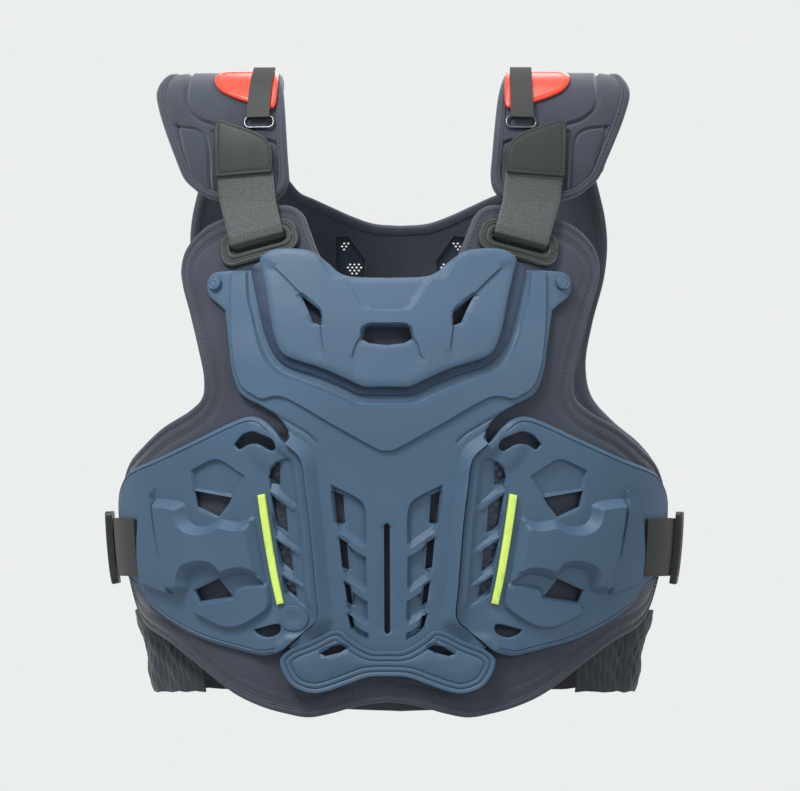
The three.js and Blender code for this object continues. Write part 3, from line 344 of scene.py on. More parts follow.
def torso(s, z):
    """The torso's surface, from the arc length round it and the height."""
    angle = s / GIRTH_RADIUS
    front_depth = BODY_FRONT_DEPTH * along(SECTIONS, down_at(z), 2) / 100
    back_depth = BODY_BACK_DEPTH * along(SECTIONS, down_at(z), 3) / 100
    depth = np.where(np.cos(angle) > 0, front_depth, back_depth)
    x = half_width_at(z) * power(np.sin(angle), 2 / SQUARENESS)
    return np.stack([x, -depth * power(np.cos(angle), 2 / SQUARENESS), z + 0 * s], axis=-1)


def catmull_rom(points, steps):
    """Dense points of a centripetal spline through the given ones."""
    points = np.asarray(points, float)
    ends = np.vstack([2 * points[0] - points[1], points, 2 * points[-1] - points[-2]])
    t = np.linspace(0, 1, steps, endpoint=False)[:, None]
    dense = []
    for a, b, c, d in zip(ends, ends[1:], ends[2:], ends[3:]):
        before, here, after = (max(np.linalg.norm(q - p), 1e-6) ** 0.5 for p, q in ((a, b), (b, c), (c, d)))
        start = ((b - a) / before - (c - a) / (before + here) + (c - b) / here) * here
        end = ((c - b) / here - (d - b) / (here + after) + (d - c) / after) * here
        dense.append(b + start * t + (3 * (c - b) - 2 * start - end) * t**2
                     + (2 * (b - c) + start + end) * t**3)
    return np.vstack([*dense, points[-1:]])


def lengths_along(points):
    return np.concatenate([[0], np.cumsum(np.linalg.norm(np.diff(points, axis=0), axis=1))])


def arch_route(rows, reach, drop):
    return catmull_rom(np.stack([rows[:, 0] / 100 * reach, -rows[:, 1] / 100 * drop], axis=-1), 60)


FRONT_ARCH = arch_route(ARCH_FRONT, -BODY_FRONT_DEPTH * ARCH_FRONT_REACH, PAD_FRONT_DROP)
BACK_ARCH = arch_route(ARCH_BACK, BODY_BACK_DEPTH * ARCH_BACK_REACH, PAD_BACK_DROP)
FRONT_LENGTHS, BACK_LENGTHS = lengths_along(FRONT_ARCH), lengths_along(BACK_ARCH)
FRONT_LENGTH, BACK_LENGTH = FRONT_LENGTHS[-1], BACK_LENGTHS[-1]


def arch(x, minus_length):
    """The shoulder pads' surface; length runs down the front, so it comes in negated."""
    length = -np.asarray(minus_length, float)
    reach, is_front = np.abs(length), length >= 0
    y, z = (np.where(is_front, np.interp(reach, FRONT_LENGTHS, FRONT_ARCH[:, k]),
                     np.interp(reach, BACK_LENGTHS, BACK_ARCH[:, k])) for k in (0, 1))
    full = np.where(is_front, FRONT_LENGTH, BACK_LENGTH)
    spread = np.minimum(np.abs(x) / (BODY_HALF_WIDTH * ARCH_SPREAD), 0.98)
    narrowing = (1 - spread**SQUARENESS) ** (1 / SQUARENESS)
    return np.stack([x + 0 * y, y * narrowing, z - np.maximum(reach - full, 0)], axis=-1)


def unit(vectors):
    return vectors / np.maximum(np.linalg.norm(vectors, axis=-1, keepdims=True), 1e-9)


def stand_off(surface, points, out, step=0.6):
    """Points of a surface, moved out along its normal."""
    u, v = np.asarray(points, float).T
    across = surface(u + step, v) - surface(u - step, v)
    up = surface(u, v + step) - surface(u, v - step)
    return surface(u, v) + unit(np.cross(across, up)) * (out + np.zeros(len(points)))[:, None]


def on_torso(points, out):
    return stand_off(torso, points, out)


def on_arch(points, out):
    return stand_off(arch, points, out)


# Outlines
def front(rows):
    rows = np.array([row[:2] for row in rows], float)
    return np.stack([rows[:, 0] / 100 * PLATE_HALF_WIDTH, height_at(rows[:, 1])], axis=-1)


def unrolled(points, back=False):
    """Points seen from the front, as arc length round the torso and height."""
    x, z = points[:, 0], points[:, 1]
    share = np.minimum(np.abs(x) / (half_width_at(z) + PANEL), 1)
    angle = np.arcsin(share ** (SQUARENESS / 2)) * np.sign(x)
    return np.stack([(math.pi - angle if back else angle) * GIRTH_RADIUS, z], axis=-1)


def sided(points, side):
    return points * [side, 1]


def laid(rows, side=1, back=False):
    """The corners of a table, unrolled."""
    return unrolled(sided(front(rows), side), back)


def on_both_sides(rows, back=False):
    return [laid(rows, side, back) for side, _ in SIDES]


def spaced(points, spacing):
    """The line's points at even steps, both ends kept."""
    lengths = lengths_along(points)
    count = max(int(round(lengths[-1] / spacing)), 1) + 1
    at = np.linspace(0, lengths[-1], count)
    return np.stack([np.interp(at, lengths, points[:, k]) for k in range(points.shape[1])], axis=-1)


def filled(corners, spacing=4):
    """A ring with straight sides, with points along them."""
    sides = [(a, b) for a, b in zip(corners, np.roll(corners, -1, axis=0)) if np.linalg.norm(a - b) > 1e-6]
    return np.vstack([spaced(np.array(side), spacing)[:-1] for side in sides])


def smooth(rows, spacing, place=front):
    """A smooth line through rows, broken at the rows that are marked as corners."""
    points = place(rows)
    breaks = [i for i, row in enumerate(rows) if len(row) > 2 and 0 < i < len(rows) - 1]
    parts = []
    for a, b in zip([0, *breaks], [*breaks, len(rows) - 1]):
        run = points[a:b + 1]
        run = spaced(catmull_rom(run, 16) if len(run) > 2 else run, spacing)
        parts.append(run if not parts else run[1:])
    return np.vstack(parts)


def closed(rows, spacing, place=front):
    return smooth([*rows, rows[0]], spacing, place)[:-1]


def mirrored(half):
    return np.vstack([half, sided(half[1:-1][::-1], -1)])


def whole(rows, spacing, back=False):
    """A table of one half as a full smooth ring, unrolled."""
    return unrolled(mirrored(smooth(rows, spacing)), back)


def relief_line(rows, spacing=2):
    return unrolled(smooth(rows, spacing))


def relief_ring(rows, spacing=2):
    return unrolled(closed(rows, spacing))


def folded(points):
    """The points all brought to +X, for a piece that is its own mirror image."""
    return np.abs(points) * [1, 0] + points * [0, 1]


def both(line):
    return [line, sided(line, -1)]


def counter_clockwise(ring):
    x, y = ring[:, 0], ring[:, 1]
    return ring if np.sum(x * np.roll(y, -1) - np.roll(x, -1) * y) > 0 else ring[::-1]


def left_of(runs):
    return unit(np.stack([-runs[:, 1], runs[:, 0]], axis=-1))


def offset(ring, distance):
    """A closed ring moved to its left, with mitred corners."""
    before = ring - np.roll(ring, 1, axis=0)
    a, b = left_of(before), left_of(np.roll(before, -1, axis=0))
    mitre = distance / np.maximum(1 + np.sum(a * b, axis=1), 0.4)
    return ring + (a + b) * mitre[:, None]


def inset(ring, distance):
    ring = counter_clockwise(ring)
    moved = offset(ring, distance)
    return moved[distance_to(moved, ring, True) > distance * NOT_FOLDED_BACK]


def distance_to(points, line, is_closed=False, chunk=4000):
    a = line if is_closed else line[:-1]
    b = np.roll(line, -1, axis=0) if is_closed else line[1:]
    best = np.full(len(points), np.inf)
    run = b - a
    squared = np.maximum(np.sum(run * run, axis=1), 1e-12)
    for start in range(0, len(points), chunk):
        p = points[start:start + chunk, None, :]
        t = np.clip(np.sum((p - a) * run, axis=2) / squared, 0, 1)
        gap = p - (a + run * t[..., None])
        best[start:start + chunk] = np.sqrt(np.min(np.sum(gap * gap, axis=2), axis=1))
    return best


def inside(points, ring):
    x, y = points[:, 0:1], points[:, 1:2]
    a, b = ring, np.roll(ring, -1, axis=0)
    crosses = (a[:, 1] > y) != (b[:, 1] > y)
    slope = (b[:, 0] - a[:, 0]) / np.where(b[:, 1] == a[:, 1], 1e-12, b[:, 1] - a[:, 1])
    return np.sum(crosses & (x < slope * (y - a[:, 1]) + a[:, 0]), axis=1) % 2 == 1


def rotation(tilt):
    return np.array([[math.cos(tilt), math.sin(tilt)], [-math.sin(tilt), math.cos(tilt)]])


def full_turn(corners):
    return np.linspace(0, 2 * math.pi, corners, endpoint=False)


def circle(centre, radius, corners):
    angles = full_turn(corners)
    return centre + radius * np.stack([np.cos(angles), np.sin(angles)], axis=-1)


def rounded_box(centre, length, height, radius, tilt=0, steps=6):
    points = []
    for sx, sy, quarter in [(1, 1, 0), (-1, 1, 1), (-1, -1, 2), (1, -1, 3)]:
        for i in range(steps + 1):
            angle = (quarter + i / steps) * math.pi / 2
            points.append([sx * (length / 2 - radius) + radius * math.cos(angle),
                           sy * (height / 2 - radius) + radius * math.sin(angle)])
    return np.array(points) @ rotation(tilt) + centre


def staggered(ring, pitch):
    """Points in staggered rows over a ring's box."""
    low, high = ring.min(axis=0), ring.max(axis=0)
    columns, rows = np.arange(low[0], high[0], pitch), np.arange(low[1], high[1], pitch * STAGGER)
    grid = np.stack(np.meshgrid(columns, rows), axis=-1)
    grid[1::2, :, 0] += pitch / 2
    return grid.reshape(-1, 2)


def row_at(columns, height):
    return np.stack([columns, np.full(len(columns), float(height))], axis=-1)


# Relief: each gives a rise at the points
def ease(t):
    t = np.clip(t, 0, 1)
    return t * t * (3 - 2 * t)


def groove(points, line, width, depth, is_closed=False):
    return -depth * ease(1 - distance_to(points, line, is_closed) / (width / 2))


def depth_in(points, ring):
    """How far inside a ring the points lie, and 0 outside it."""
    return np.where(inside(points, ring), distance_to(points, ring, True), 0)


def plateau(points, ring, height, bevel):
    return height * np.clip(depth_in(points, ring) / bevel, 0, 1)


def upward(start, end):
    """The unit normal on a line's upper side."""
    run = (end - start) / np.linalg.norm(end - start)
    return np.array([-run[1], run[0]]) if run[0] > 0 else np.array([run[1], -run[0]])


def rib(points, start, end, ramp, flat, height, taper=0.0):
    """A louvre's rib: a ramp up from above, a flat, and a sharp drop under it."""
    run = end - start
    t = (points - start) @ run / (run @ run)
    drop = -((points - start) @ upward(start, end))
    width = ramp * (1 - taper * np.clip(t, 0, 1))
    shape = np.clip(drop / width, 0, 1) * (drop < width + flat)
    return np.where((t > -0.2) & (t < 1.1) & (drop > 0), height * shape, 0)


# Meshes
def mesh_object(name, vertices, faces, smooth_angle=40):
    mesh = bpy.data.meshes.new(name)
    mesh.from_pydata((np.asarray(vertices) * MM).tolist(), [], faces)
    mesh.validate()
    mesh.polygons.foreach_set("use_smooth", [True] * len(mesh.polygons))
    mesh.set_sharp_from_angle(angle=math.radians(smooth_angle))
    obj = bpy.data.objects.new(name, mesh)
    bpy.context.scene.collection.objects.link(obj)
    return obj


def finish_piece(obj, slot, nodes=(), material=None):
    obj.data.materials.append(MATERIALS[material or slot])
    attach(obj, "root")
    if nodes:
        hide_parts(*nodes)


def rail_points(line, offsets, is_closed):
    """Points beside a line, at each of the offsets to both sides."""
    if is_closed:
        return [offset(line, d) for d in offsets] + [offset(line, -d) for d in offsets if d]
    side = left_of(np.gradient(line, axis=0))
    return [line + side * d for d in offsets] + [line - side * d for d in offsets if d]


def plate(name, outline, rise, floor, holes=(), surface=on_torso, spacing=3.0, rails=(), edge=0.8):
    """A wall on a surface, from floor to rise, with rounded edges and openings.

    The rise is a height or a function of the points, and rails are lines of its relief: each a line,
    the distances beside it that get points too, and whether it is closed.
    """
    rings = [counter_clockwise(outline), *[counter_clockwise(hole)[::-1] for hole in holes]]

    def to_rings(points):
        return np.min([distance_to(points, ring, True) for ring in rings], axis=0)

    def within(points):
        keep = inside(points, rings[0])
        for hole in rings[1:]:
            keep &= ~inside(points, hole)
        return keep

    def kept(points, distance):
        points = points[within(points)]
        return points[to_rings(points) > distance]

    grid = kept(staggered(rings[0], spacing), edge + spacing * 0.45)
    inner = []
    for line, offsets, is_closed in rails:
        grid = grid[distance_to(grid, line, is_closed) > max(offsets) + spacing * 0.4]
        for points in rail_points(spaced(line, spacing * 0.6), offsets, is_closed):
            inner.append(kept(points, edge * 1.15))
    for share in EDGE_STEPS:
        inner += [kept(offset(ring, edge * share), edge * share * NOT_FOLDED_BACK) for ring in rings]
    free = np.vstack([*inner, grid])
    free = free[np.unique(np.round(free / MERGE_CELL).astype(int), axis=0, return_index=True)[1]]

    ring_edges, start = [], 0
    for ring in rings:
        ring_edges += [(start + i, start + (i + 1) % len(ring)) for i in range(len(ring))]
        start += len(ring)
    flat = [Vector(p) for p in np.vstack([*rings, free]).tolist()]
    points, _, faces, origins, _, _ = delaunay_2d_cdt(flat, ring_edges, [], 0, 1e-5)
    points = np.array([tuple(p) for p in points])
    faces = np.array([face for face in faces if len(face) == 3])
    faces = faces[within(points[faces].mean(axis=1))].tolist()
    place = {old: new for new, olds in enumerate(origins) for old in olds}

    depth = np.minimum(to_rings(points), edge)
    rounding = edge - np.sqrt(np.maximum(edge**2 - (edge - depth) ** 2, 0))
    top = rise(points) if callable(rise) else rise
    count = len(points)
    under = [(a + count, c + count, b + count) for a, b, c in faces]
    walls = [(place[i], place[i] + count, place[j] + count, place[j]) for i, j in ring_edges]
    vertices = np.vstack([surface(points, top - rounding), surface(points, floor)])
    return mesh_object(name, vertices, [*faces, *under, *walls])


def swept(name, rings, smooth_angle):
    """A closed tube through rings of points."""
    turns, count = len(rings), len(rings[0])
    faces = []
    for j in range(turns):
        here, there = j * count, (j + 1) % turns * count
        for i in range(count):
            after = (i + 1) % count
            faces.append((here + i, there + i, there + after, here + after))
    return mesh_object(name, np.vstack(rings), faces, smooth_angle)


def bound_edge(name, outline, surface, low, high):
    """A sewn band round an edge: a rounded section swept along the closed outline."""
    ring, width = counter_clockwise(outline), BINDING_WIDTH
    middle, half = (low + high) / 2, (high - low) / 2
    section = [(half * 0.55 * (1 + math.cos(a)), middle + half * math.sin(a))
               for a in np.linspace(math.pi * 1.5, math.pi * 0.5, 9)]
    section += [(width * 0.4, high + 0.35), (width * 0.66, high + 0.25), (width * 0.74, high - 0.35),
                (width * 0.82, high + 0.15), (width * 0.95, high - 0.1), (width, high - 0.9)]
    section += [(width, low + 0.5), (width * 0.8, low), (width * 0.5, low - 0.15)]
    return swept(name, [surface(offset(ring, d), out) for d, out in section], 60)


def grid_sheet(name, rows, thickness, smooth_angle=50):
    """A strip from a grid of points, with its thickness across it."""
    rows = np.asarray(rows)
    height, width = rows.shape[:2]
    half = np.broadcast_to(np.asarray(thickness, float), (height, width))[..., None] / 2
    half = unit(np.cross(np.gradient(rows, axis=1), np.gradient(rows, axis=0))) * half
    vertices = np.vstack([(rows + half).reshape(-1, 3), (rows - half).reshape(-1, 3)])
    count = height * width
    at = np.arange(count).reshape(height, width)
    a, b, c, d = at[:-1, :-1].ravel(), at[:-1, 1:].ravel(), at[1:, 1:].ravel(), at[1:, :-1].ravel()
    rim = np.concatenate([at[0, :-1], at[:-1, -1], at[-1, :0:-1], at[:0:-1, 0]])
    after = np.roll(rim, -1)
    faces = [(a, b, c, d), (a + count, d + count, c + count, b + count),
             (rim, rim + count, after + count, after)]
    return mesh_object(name, vertices, [face for part in faces for face in np.stack(part, axis=1).tolist()],
                       smooth_angle)


def stitches(name, line, surface, out, slot="binding", material="thread", pitch=3.2, length=2.3, width=0.55):
    """A row of stitches along a closed line on a surface, each a six-sided spindle."""
    at = spaced(np.vstack([line, line[:1]]), pitch)
    run = unit(np.gradient(at, axis=0))
    centre = surface(at, out)
    forward, up = unit(surface(at + run * 0.5, out) - centre), unit(surface(at, out + 0.5) - centre)
    side = np.cross(forward, up)
    shape = [(-0.5, 0, 0), *[(t, math.cos(a), math.sin(a)) for t in (-0.3, 0.3) for a in full_turn(6)],
             (0.5, 0, 0)]
    vertices = [centre + forward * length * t + side * width / 2 * c + up * width / 2 * s for t, c, s in shape]
    vertices = np.stack(vertices, axis=1).reshape(-1, 3)
    base = [(0, 2 + k if k < 5 else 1, 1 + k) for k in range(6)]
    base += [(1 + k, 1 + (k + 1) % 6, 7 + (k + 1) % 6, 7 + k) for k in range(6)]
    base += [(13, 7 + k, 7 + (k + 1) % 6) for k in range(6)]
    faces = [tuple(v + len(shape) * i for v in face) for i in range(len(at)) for face in base]
    finish_piece(mesh_object(name, vertices, faces, 80), slot, material=material)


# Materials
# Which part of a texture's range turns the low value into the high one
TEXTURE_SPAN = (0.35, 0.65)


class Look:
    """A material whose shader is fed by textures in object space."""

    def __init__(self, name):
        self.material = bpy.data.materials.new(name)
        self.material.use_nodes = True
        self.nodes, self.links = self.material.node_tree.nodes, self.material.node_tree.links
        self.nodes.clear()
        self.at = self.nodes.new("ShaderNodeTexCoord").outputs["Object"]

    def add(self, kind, inputs, output):
        """A node's output. Numbers go on its sockets, and other nodes' outputs are linked to them."""
        node = self.nodes.new(kind)
        for name, value in inputs.items():
            if isinstance(value, bpy.types.NodeSocket):
                self.links.new(value, node.inputs[name])
            else:
                node.inputs[name].default_value = value
        return node.outputs[output]

    def noise(self, scale, detail, stretch=None):
        at = self.at
        if stretch:
            at = self.add("ShaderNodeMapping", {"Vector": at, "Scale": stretch}, "Vector")
        return self.add("ShaderNodeTexNoise", {"Vector": at, "Scale": scale, "Detail": detail}, "Fac")

    def between(self, fac, low, high):
        """A value or a colour that follows a texture from low to high."""
        if isinstance(low, float):
            return self.add("ShaderNodeMapRange", {
                "Value": fac, "From Min": TEXTURE_SPAN[0], "From Max": TEXTURE_SPAN[1],
                "To Min": low, "To Max": high,
            }, "Result")
        colour = self.add("ShaderNodeValToRGB", {"Fac": fac}, "Color")
        for element, position, value in zip(colour.node.color_ramp.elements, TEXTURE_SPAN, (low, high)):
            element.position, element.color = position, (*value, 1)
        return colour

    def bump(self, height, strength, distance, below=None):
        inputs = {"Height": height, "Strength": strength, "Distance": distance * MM}
        return self.add("ShaderNodeBump", {**inputs, "Normal": below} if below else inputs, "Normal")

    def shaded(self, inputs):
        surface = self.add("ShaderNodeBsdfPrincipled", inputs, "BSDF")
        self.links.new(surface, self.nodes.new("ShaderNodeOutputMaterial").inputs["Surface"])
        return self.material


def shade(colour, factor):
    return tuple(min(c * factor, 1.0) for c in colour)


def moulded(name, colour, roughness, grain=0.25, coat=0.0):
    """Moulded plastic: a fine spark-eroded grain, slow colour drift and duller, handled patches."""
    look = Look(name)
    broad = look.bump(look.noise(22, 2), 0.25, 0.35)
    return look.shaded({
        "Base Color": look.between(look.noise(9, 3), shade(colour, 0.94), shade(colour, 1.06)),
        "Roughness": look.between(look.noise(28, 4), roughness - 0.05, roughness + 0.06),
        "Normal": look.bump(look.noise(1700, 2), grain, 0.05, broad),
        "Specular IOR Level": 0.3, "Coat Weight": coat, "Coat Roughness": 0.3,
    })


def knitted(name, colour, roughness=0.9, sheen=0.25, pitch=1.1, depth=0.16):
    """Knit-faced foam or tape: small loops, lint and a soft sheen."""
    look = Look(name)
    loops = look.add("ShaderNodeTexVoronoi", {"Vector": look.at, "Scale": 1000 / pitch}, "Distance")
    soft = look.bump(look.noise(60, 3), 0.3, 0.5)
    return look.shaded({
        "Base Color": look.between(look.noise(35, 5), shade(colour, 0.86), shade(colour, 1.14)),
        "Roughness": roughness, "Sheen Weight": sheen, "Sheen Roughness": 0.45,
        "Normal": look.bump(loops, 0.5, depth, soft),
    })


def woven(name, colour, stretch, pitch=0.9):
    """Webbing: bundles of yarn that cross, with a faint lustre."""
    look = Look(name)
    yarn = look.noise(1000 / pitch, 2, stretch)
    return look.shaded({
        "Base Color": look.between(yarn, shade(colour, 0.4), shade(colour, 1.7)),
        "Roughness": 0.72, "Sheen Weight": 0.04, "Normal": look.bump(yarn, 0.6, 0.2),
    })


def metal(name, colour):
    look = Look(name)
    return look.shaded({
        "Base Color": look.between(look.noise(300, 3), shade(colour, 0.9), shade(colour, 1.08)),
        "Metallic": 1.0, "Roughness": look.between(look.noise(500, 2, (1, 1, 9)), 0.28, 0.42),
    })


NAVY = (0.0165, 0.021, 0.0345)
BLUE = (0.034, 0.066, 0.11)
GREY_GREEN = (0.032, 0.039, 0.038)
MATERIALS = {
    "neoprene": knitted("knit-faced foam", NAVY),
    "binding": knitted("edge tape", shade(NAVY, 1.05), 0.8, 0.2, 0.8, 0.1),
    "thread": knitted("sewing thread", shade(NAVY, 0.55), 0.7, 0.3, 0.3, 0.05),
    "shell": moulded("slate blue moulding", BLUE, 0.55),
    # The band under the collar is coloured darker than the shell: painted shade, standing in for the shaded steep
    # wall below the collar's edge
    "collar_band": moulded("collar band painted shade", (0.008, 0.022, 0.05), 0.5),
    "guard": moulded("stitched trim", shade(GREY_GREEN, 0.45), 0.6, 0.6),
    "patch": moulded("stitched patch", shade(GREY_GREEN, 0.42), 0.6, 0.7),
    "pale_thread": knitted("pale thread", shade(GREY_GREEN, 1.9), 0.7, 0.3, 0.3, 0.05),
    "vent_mesh": moulded("dark mesh", (0.02, 0.03, 0.045), 0.5),
    "accent_yellow": moulded("yellow insert", (0.42, 0.55, 0.1), 0.5),
    "tab_red": moulded("red tab", (0.5, 0.034, 0.014), 0.35, 0.1, 0.2),
    "webbing": woven("webbing", GREY_GREEN, (1, 1, 3)),
    "side_webbing": woven("side webbing", shade(GREY_GREEN, 0.2), (1, 1, 0.3)),
    "wire": metal("bent wire", (0.1, 0.105, 0.11)),
    "belt_elastic": knitted("ruched fabric", shade(NAVY, 0.5), 0.9, 0.1),
    "buckle": moulded("black buckle", (0.014, 0.015, 0.016), 0.4),
}


# Padded panels
def padded_panel(name, edge, openings, relief, spacing, rails=()):
    """A panel's foam with a channel inside its edge, the tape round it and the tape's stitches."""
    cloth, channel = inset(edge, BINDING_WIDTH * 0.8), inset(edge, 15)

    def rise(points):
        soft = 0.5 * ease(distance_to(points, cloth, True) / 14)
        return PANEL - 0.8 + soft + groove(points, channel, 5, 0.7, True) + relief(points)

    panel = plate(f"{name}_foam", inset(cloth, 0.4), rise, 0, openings, spacing=spacing, edge=1.2,
                  rails=[(channel, (0, 1.2, 2.5), True), *rails])
    finish_piece(panel, "neoprene", [name])
    tape = bound_edge(f"{name}_edge_tape", edge, on_torso, -BINDING_PROUD, PANEL - BINDING_PROUD)
    finish_piece(tape, "binding", [f"{name}_binding"])
    stitches(f"{name}_tape_stitches", inset(edge, BINDING_WIDTH * 0.74), on_torso, PANEL - 0.75)


def front_panel():
    edge = whole(FRONT_PANEL, 3)
    hollows = [laid(rows) for rows in PANEL_HOLLOWS]

    def relief(points):
        p = folded(points)
        return -sum(3.0 * ease(depth_in(p, ring) / 5) for ring in hollows)

    slots = [slot_outline(side) for side, _ in SIDES]
    padded_panel("front_panel", edge, [*slots, *on_both_sides(MESH_WINDOW)], relief, 3.4)
    stitches("front_panel_hem_stitches", inset(edge, 11), on_torso, PANEL - 0.35)


def back_panel():
    edge = whole(BACK_PANEL, 3, True)
    spine = spaced(laid([[0, 12], [0, 92]], back=True), 3)
    channels = [unrolled(sided(smooth([[6, d], [30, d - 3], [62, d - 1]], 3), side), True)
                for side in (1, -1) for d in (36, 52, 68, 84)]

    def relief(points):
        return groove(points, spine, 6, 0.9) + sum(groove(points, line, 5, 0.8) for line in channels)

    padded_panel("back_panel", edge, on_both_sides(BACK_WINDOW, True), relief, 3.6,
                 [(spine, (0, 1.5, 3), False), *[(line, (0, 1.2, 2.5), False) for line in channels]])
    stitches("back_panel_inner_stitches", inset(edge, BINDING_WIDTH * 0.8), on_torso, -BINDING_PROUD)


def place_of(row, side):
    return laid([row], side)[0]


def guard_tilt(side):
    return -side * math.radians(GUARD_TILT)


def slot_outline(side):
    return rounded_box(place_of(GUARD_PLACE, side), SLOT_LENGTH, SLOT_HEIGHT, SLOT_CORNER, guard_tilt(side))


def slot_guards():
    top = GUARD_FLOOR + GUARD_THICKNESS
    for side, tag in SIDES:
        def ring(grow):
            corner = max(1.25 * min(grow, GUARD_RIM), SLOT_CORNER + grow * 0.6)
            return rounded_box(place_of(GUARD_PLACE, side), SLOT_LENGTH + 2 * grow, SLOT_HEIGHT + 2 * grow,
                               corner, guard_tilt(side), 10)

        seam, dent, lip = ring(5.4), ring(3.6), ring(1.9)

        def rise(points):
            dents = groove(points, dent, 1.4, 0.5, True) + groove(points, seam, 1.2, 0.25, True)
            return top - 0.3 + dents + 0.5 * ease(1 - distance_to(points, lip, True) / 1.6)

        guard = plate(f"strap_slot_trim_{tag}", ring(GUARD_RIM), rise, GUARD_FLOOR, [slot_outline(side)],
                      spacing=1.2, rails=[(seam, (0, 0.5), True), (lip, (0, 0.8), True), (dent, (0, 0.6), True)])
        finish_piece(guard, "guard", [f"strap_slot_guard_{tag}"])
        stitches(f"strap_slot_stitches_{tag}", ring(6.6), on_torso, top - 0.35, "guard", "pale_thread",
                 pitch=2.2, length=1.5, width=0.5)
        stitches(f"strap_slot_inner_stitches_{tag}", ring(2.9), on_torso, top - 0.1, "guard", "pale_thread",
                 pitch=2.2, length=1.5, width=0.4)


# Moulded shells
def main_shell():
    seam = smooth(WING_SEAM, 3)
    shell_seam = (seam - left_of(np.gradient(seam, axis=0)) * 0.5)[1:-1]
    outline = unrolled(mirrored(np.vstack([smooth(SHELL_EDGE, 3), shell_seam, smooth(SHELL_FOOT, 3)])))
    rungs = [laid(rows, side) for side, _ in SIDES for rows in LADDER]
    slot = unrolled(mirrored(front(CENTRE_SLOT)))
    upper, recess = whole(UPPER_FORM, 2), whole(UPPER_FORM[:UPPER_FORM_NECK_ROWS], 2)
    rim, core_side, well = relief_line(RIM_GROOVE), relief_line(CORE_SIDE), relief_ring(LADDER_WELL)
    valley = unrolled(np.vstack([smooth(CORE_SIDE, 2), shell_seam[::-1]]))
    ribs = [laid(rows) for rows in LADDER_RIBS]
    seam_line = unrolled(shell_seam)

    def rise(points):
        p = folded(points)
        base = 2.0 * ease((height_at(22) - p[:, 1]) / 36)
        base = base * (1 - plateau(p, recess, 1, 1))
        to_side, to_seam = distance_to(p, core_side), distance_to(p, seam_line)
        bank = BANK_HEIGHT * ease((p[:, 1] - height_at(BANK_FOOT)) / 14) * to_side / (to_side + to_seam + 1e-6)
        bank = np.where(inside(p, valley), bank, 0)
        top = SHELL + base + plateau(p, upper, 2.4, 1.4) + bank + groove(p, rim, 2.4, 1.1)
        lift = sum(rib(p, a, b, RIB_RAMP, RIB_FLAT, LADDER_DEPTH) for a, b in ribs)
        return top + np.minimum(np.where(inside(p, well), lift, 0) - plateau(p, well, LADDER_DEPTH, 1.6), 0)

    rails = [(line, (0, 0.6, 1.3), False) for line in both(rim)]
    rails += [(line, (0, 0.8, 1.6), True) for line in both(well)]
    rails += [(line, (0, 0.7, 1.4), False) for line in both(upper[upper[:, 0] >= -0.01])]
    rails += [(line, (0,), False) for line in both(core_side)]
    for a, b in ribs:
        for drop in (0, RIB_RAMP, RIB_RAMP + RIB_FLAT - 0.1, RIB_RAMP + RIB_FLAT + 0.15):
            rails += [(line, (0,), False) for line in both(np.array([a, b]) - upward(a, b) * drop)]
    shell = plate("chest_shell", outline, rise, SHELL_FLOOR,
                  [*rungs, slot, *collar_holes(), *on_both_sides(HEM_WINDOW)], spacing=2.0, rails=rails, edge=1.0)
    finish_piece(shell, "shell", ["main_shell"])


def collar_holes():
    return [unrolled(mirrored(front(COLLAR_WINDOW))), *on_both_sides(COLLAR_VENT)]


def collar():
    # The flat band's dark colour is painted shade for the collar's steep side wall, which faces away from the
    # light
    band = plate("collar_band_plate", whole(COLLAR_BAND, 3), ON_SHELL + BAND_THICKNESS, ON_SHELL,
                 collar_holes(), spacing=6, edge=0.5)
    finish_piece(band, "collar_band", ["collar_base"])
    outline = whole(COLLAR_PLATE, 2.5)
    crease, vent, window = relief_line(NECK_CREASE), relief_line(VENT_CREASE), relief_line(WINDOW_CREASE)
    neck = np.vstack([crease, laid([[0, 5], [30, 5]])])
    vent_side = np.vstack([vent, laid([[22.7, 34], [60, 34], [60, 5]])])
    below = np.vstack([window, laid([[12.9, 40], [0, 40]])])

    def fading(p, line, area, depth):
        gap = distance_to(p, line)
        return np.where(inside(p, area), depth * np.exp(-gap / 15) * ease(gap / 0.8), 0)

    def rise(points):
        p = folded(points)
        top = COLLAR + 0.9 * ease(distance_to(points, outline, True) / 3)
        top = top - np.where(inside(p, neck), 1.5 * ease(distance_to(p, crease) / 1.6), 0)
        return top - fading(p, vent, vent_side, 1.9) - fading(p, window, below, 1.8)

    rails = [(line, (0, 0.8, 1.6), False) for part in (crease, vent, window) for line in both(part)]
    moulding = plate("collar_moulding", outline, rise, COLLAR_FLOOR, collar_holes(), spacing=2.4, rails=rails,
                     edge=1.0)
    finish_piece(moulding, "shell", ["collar_plate"])


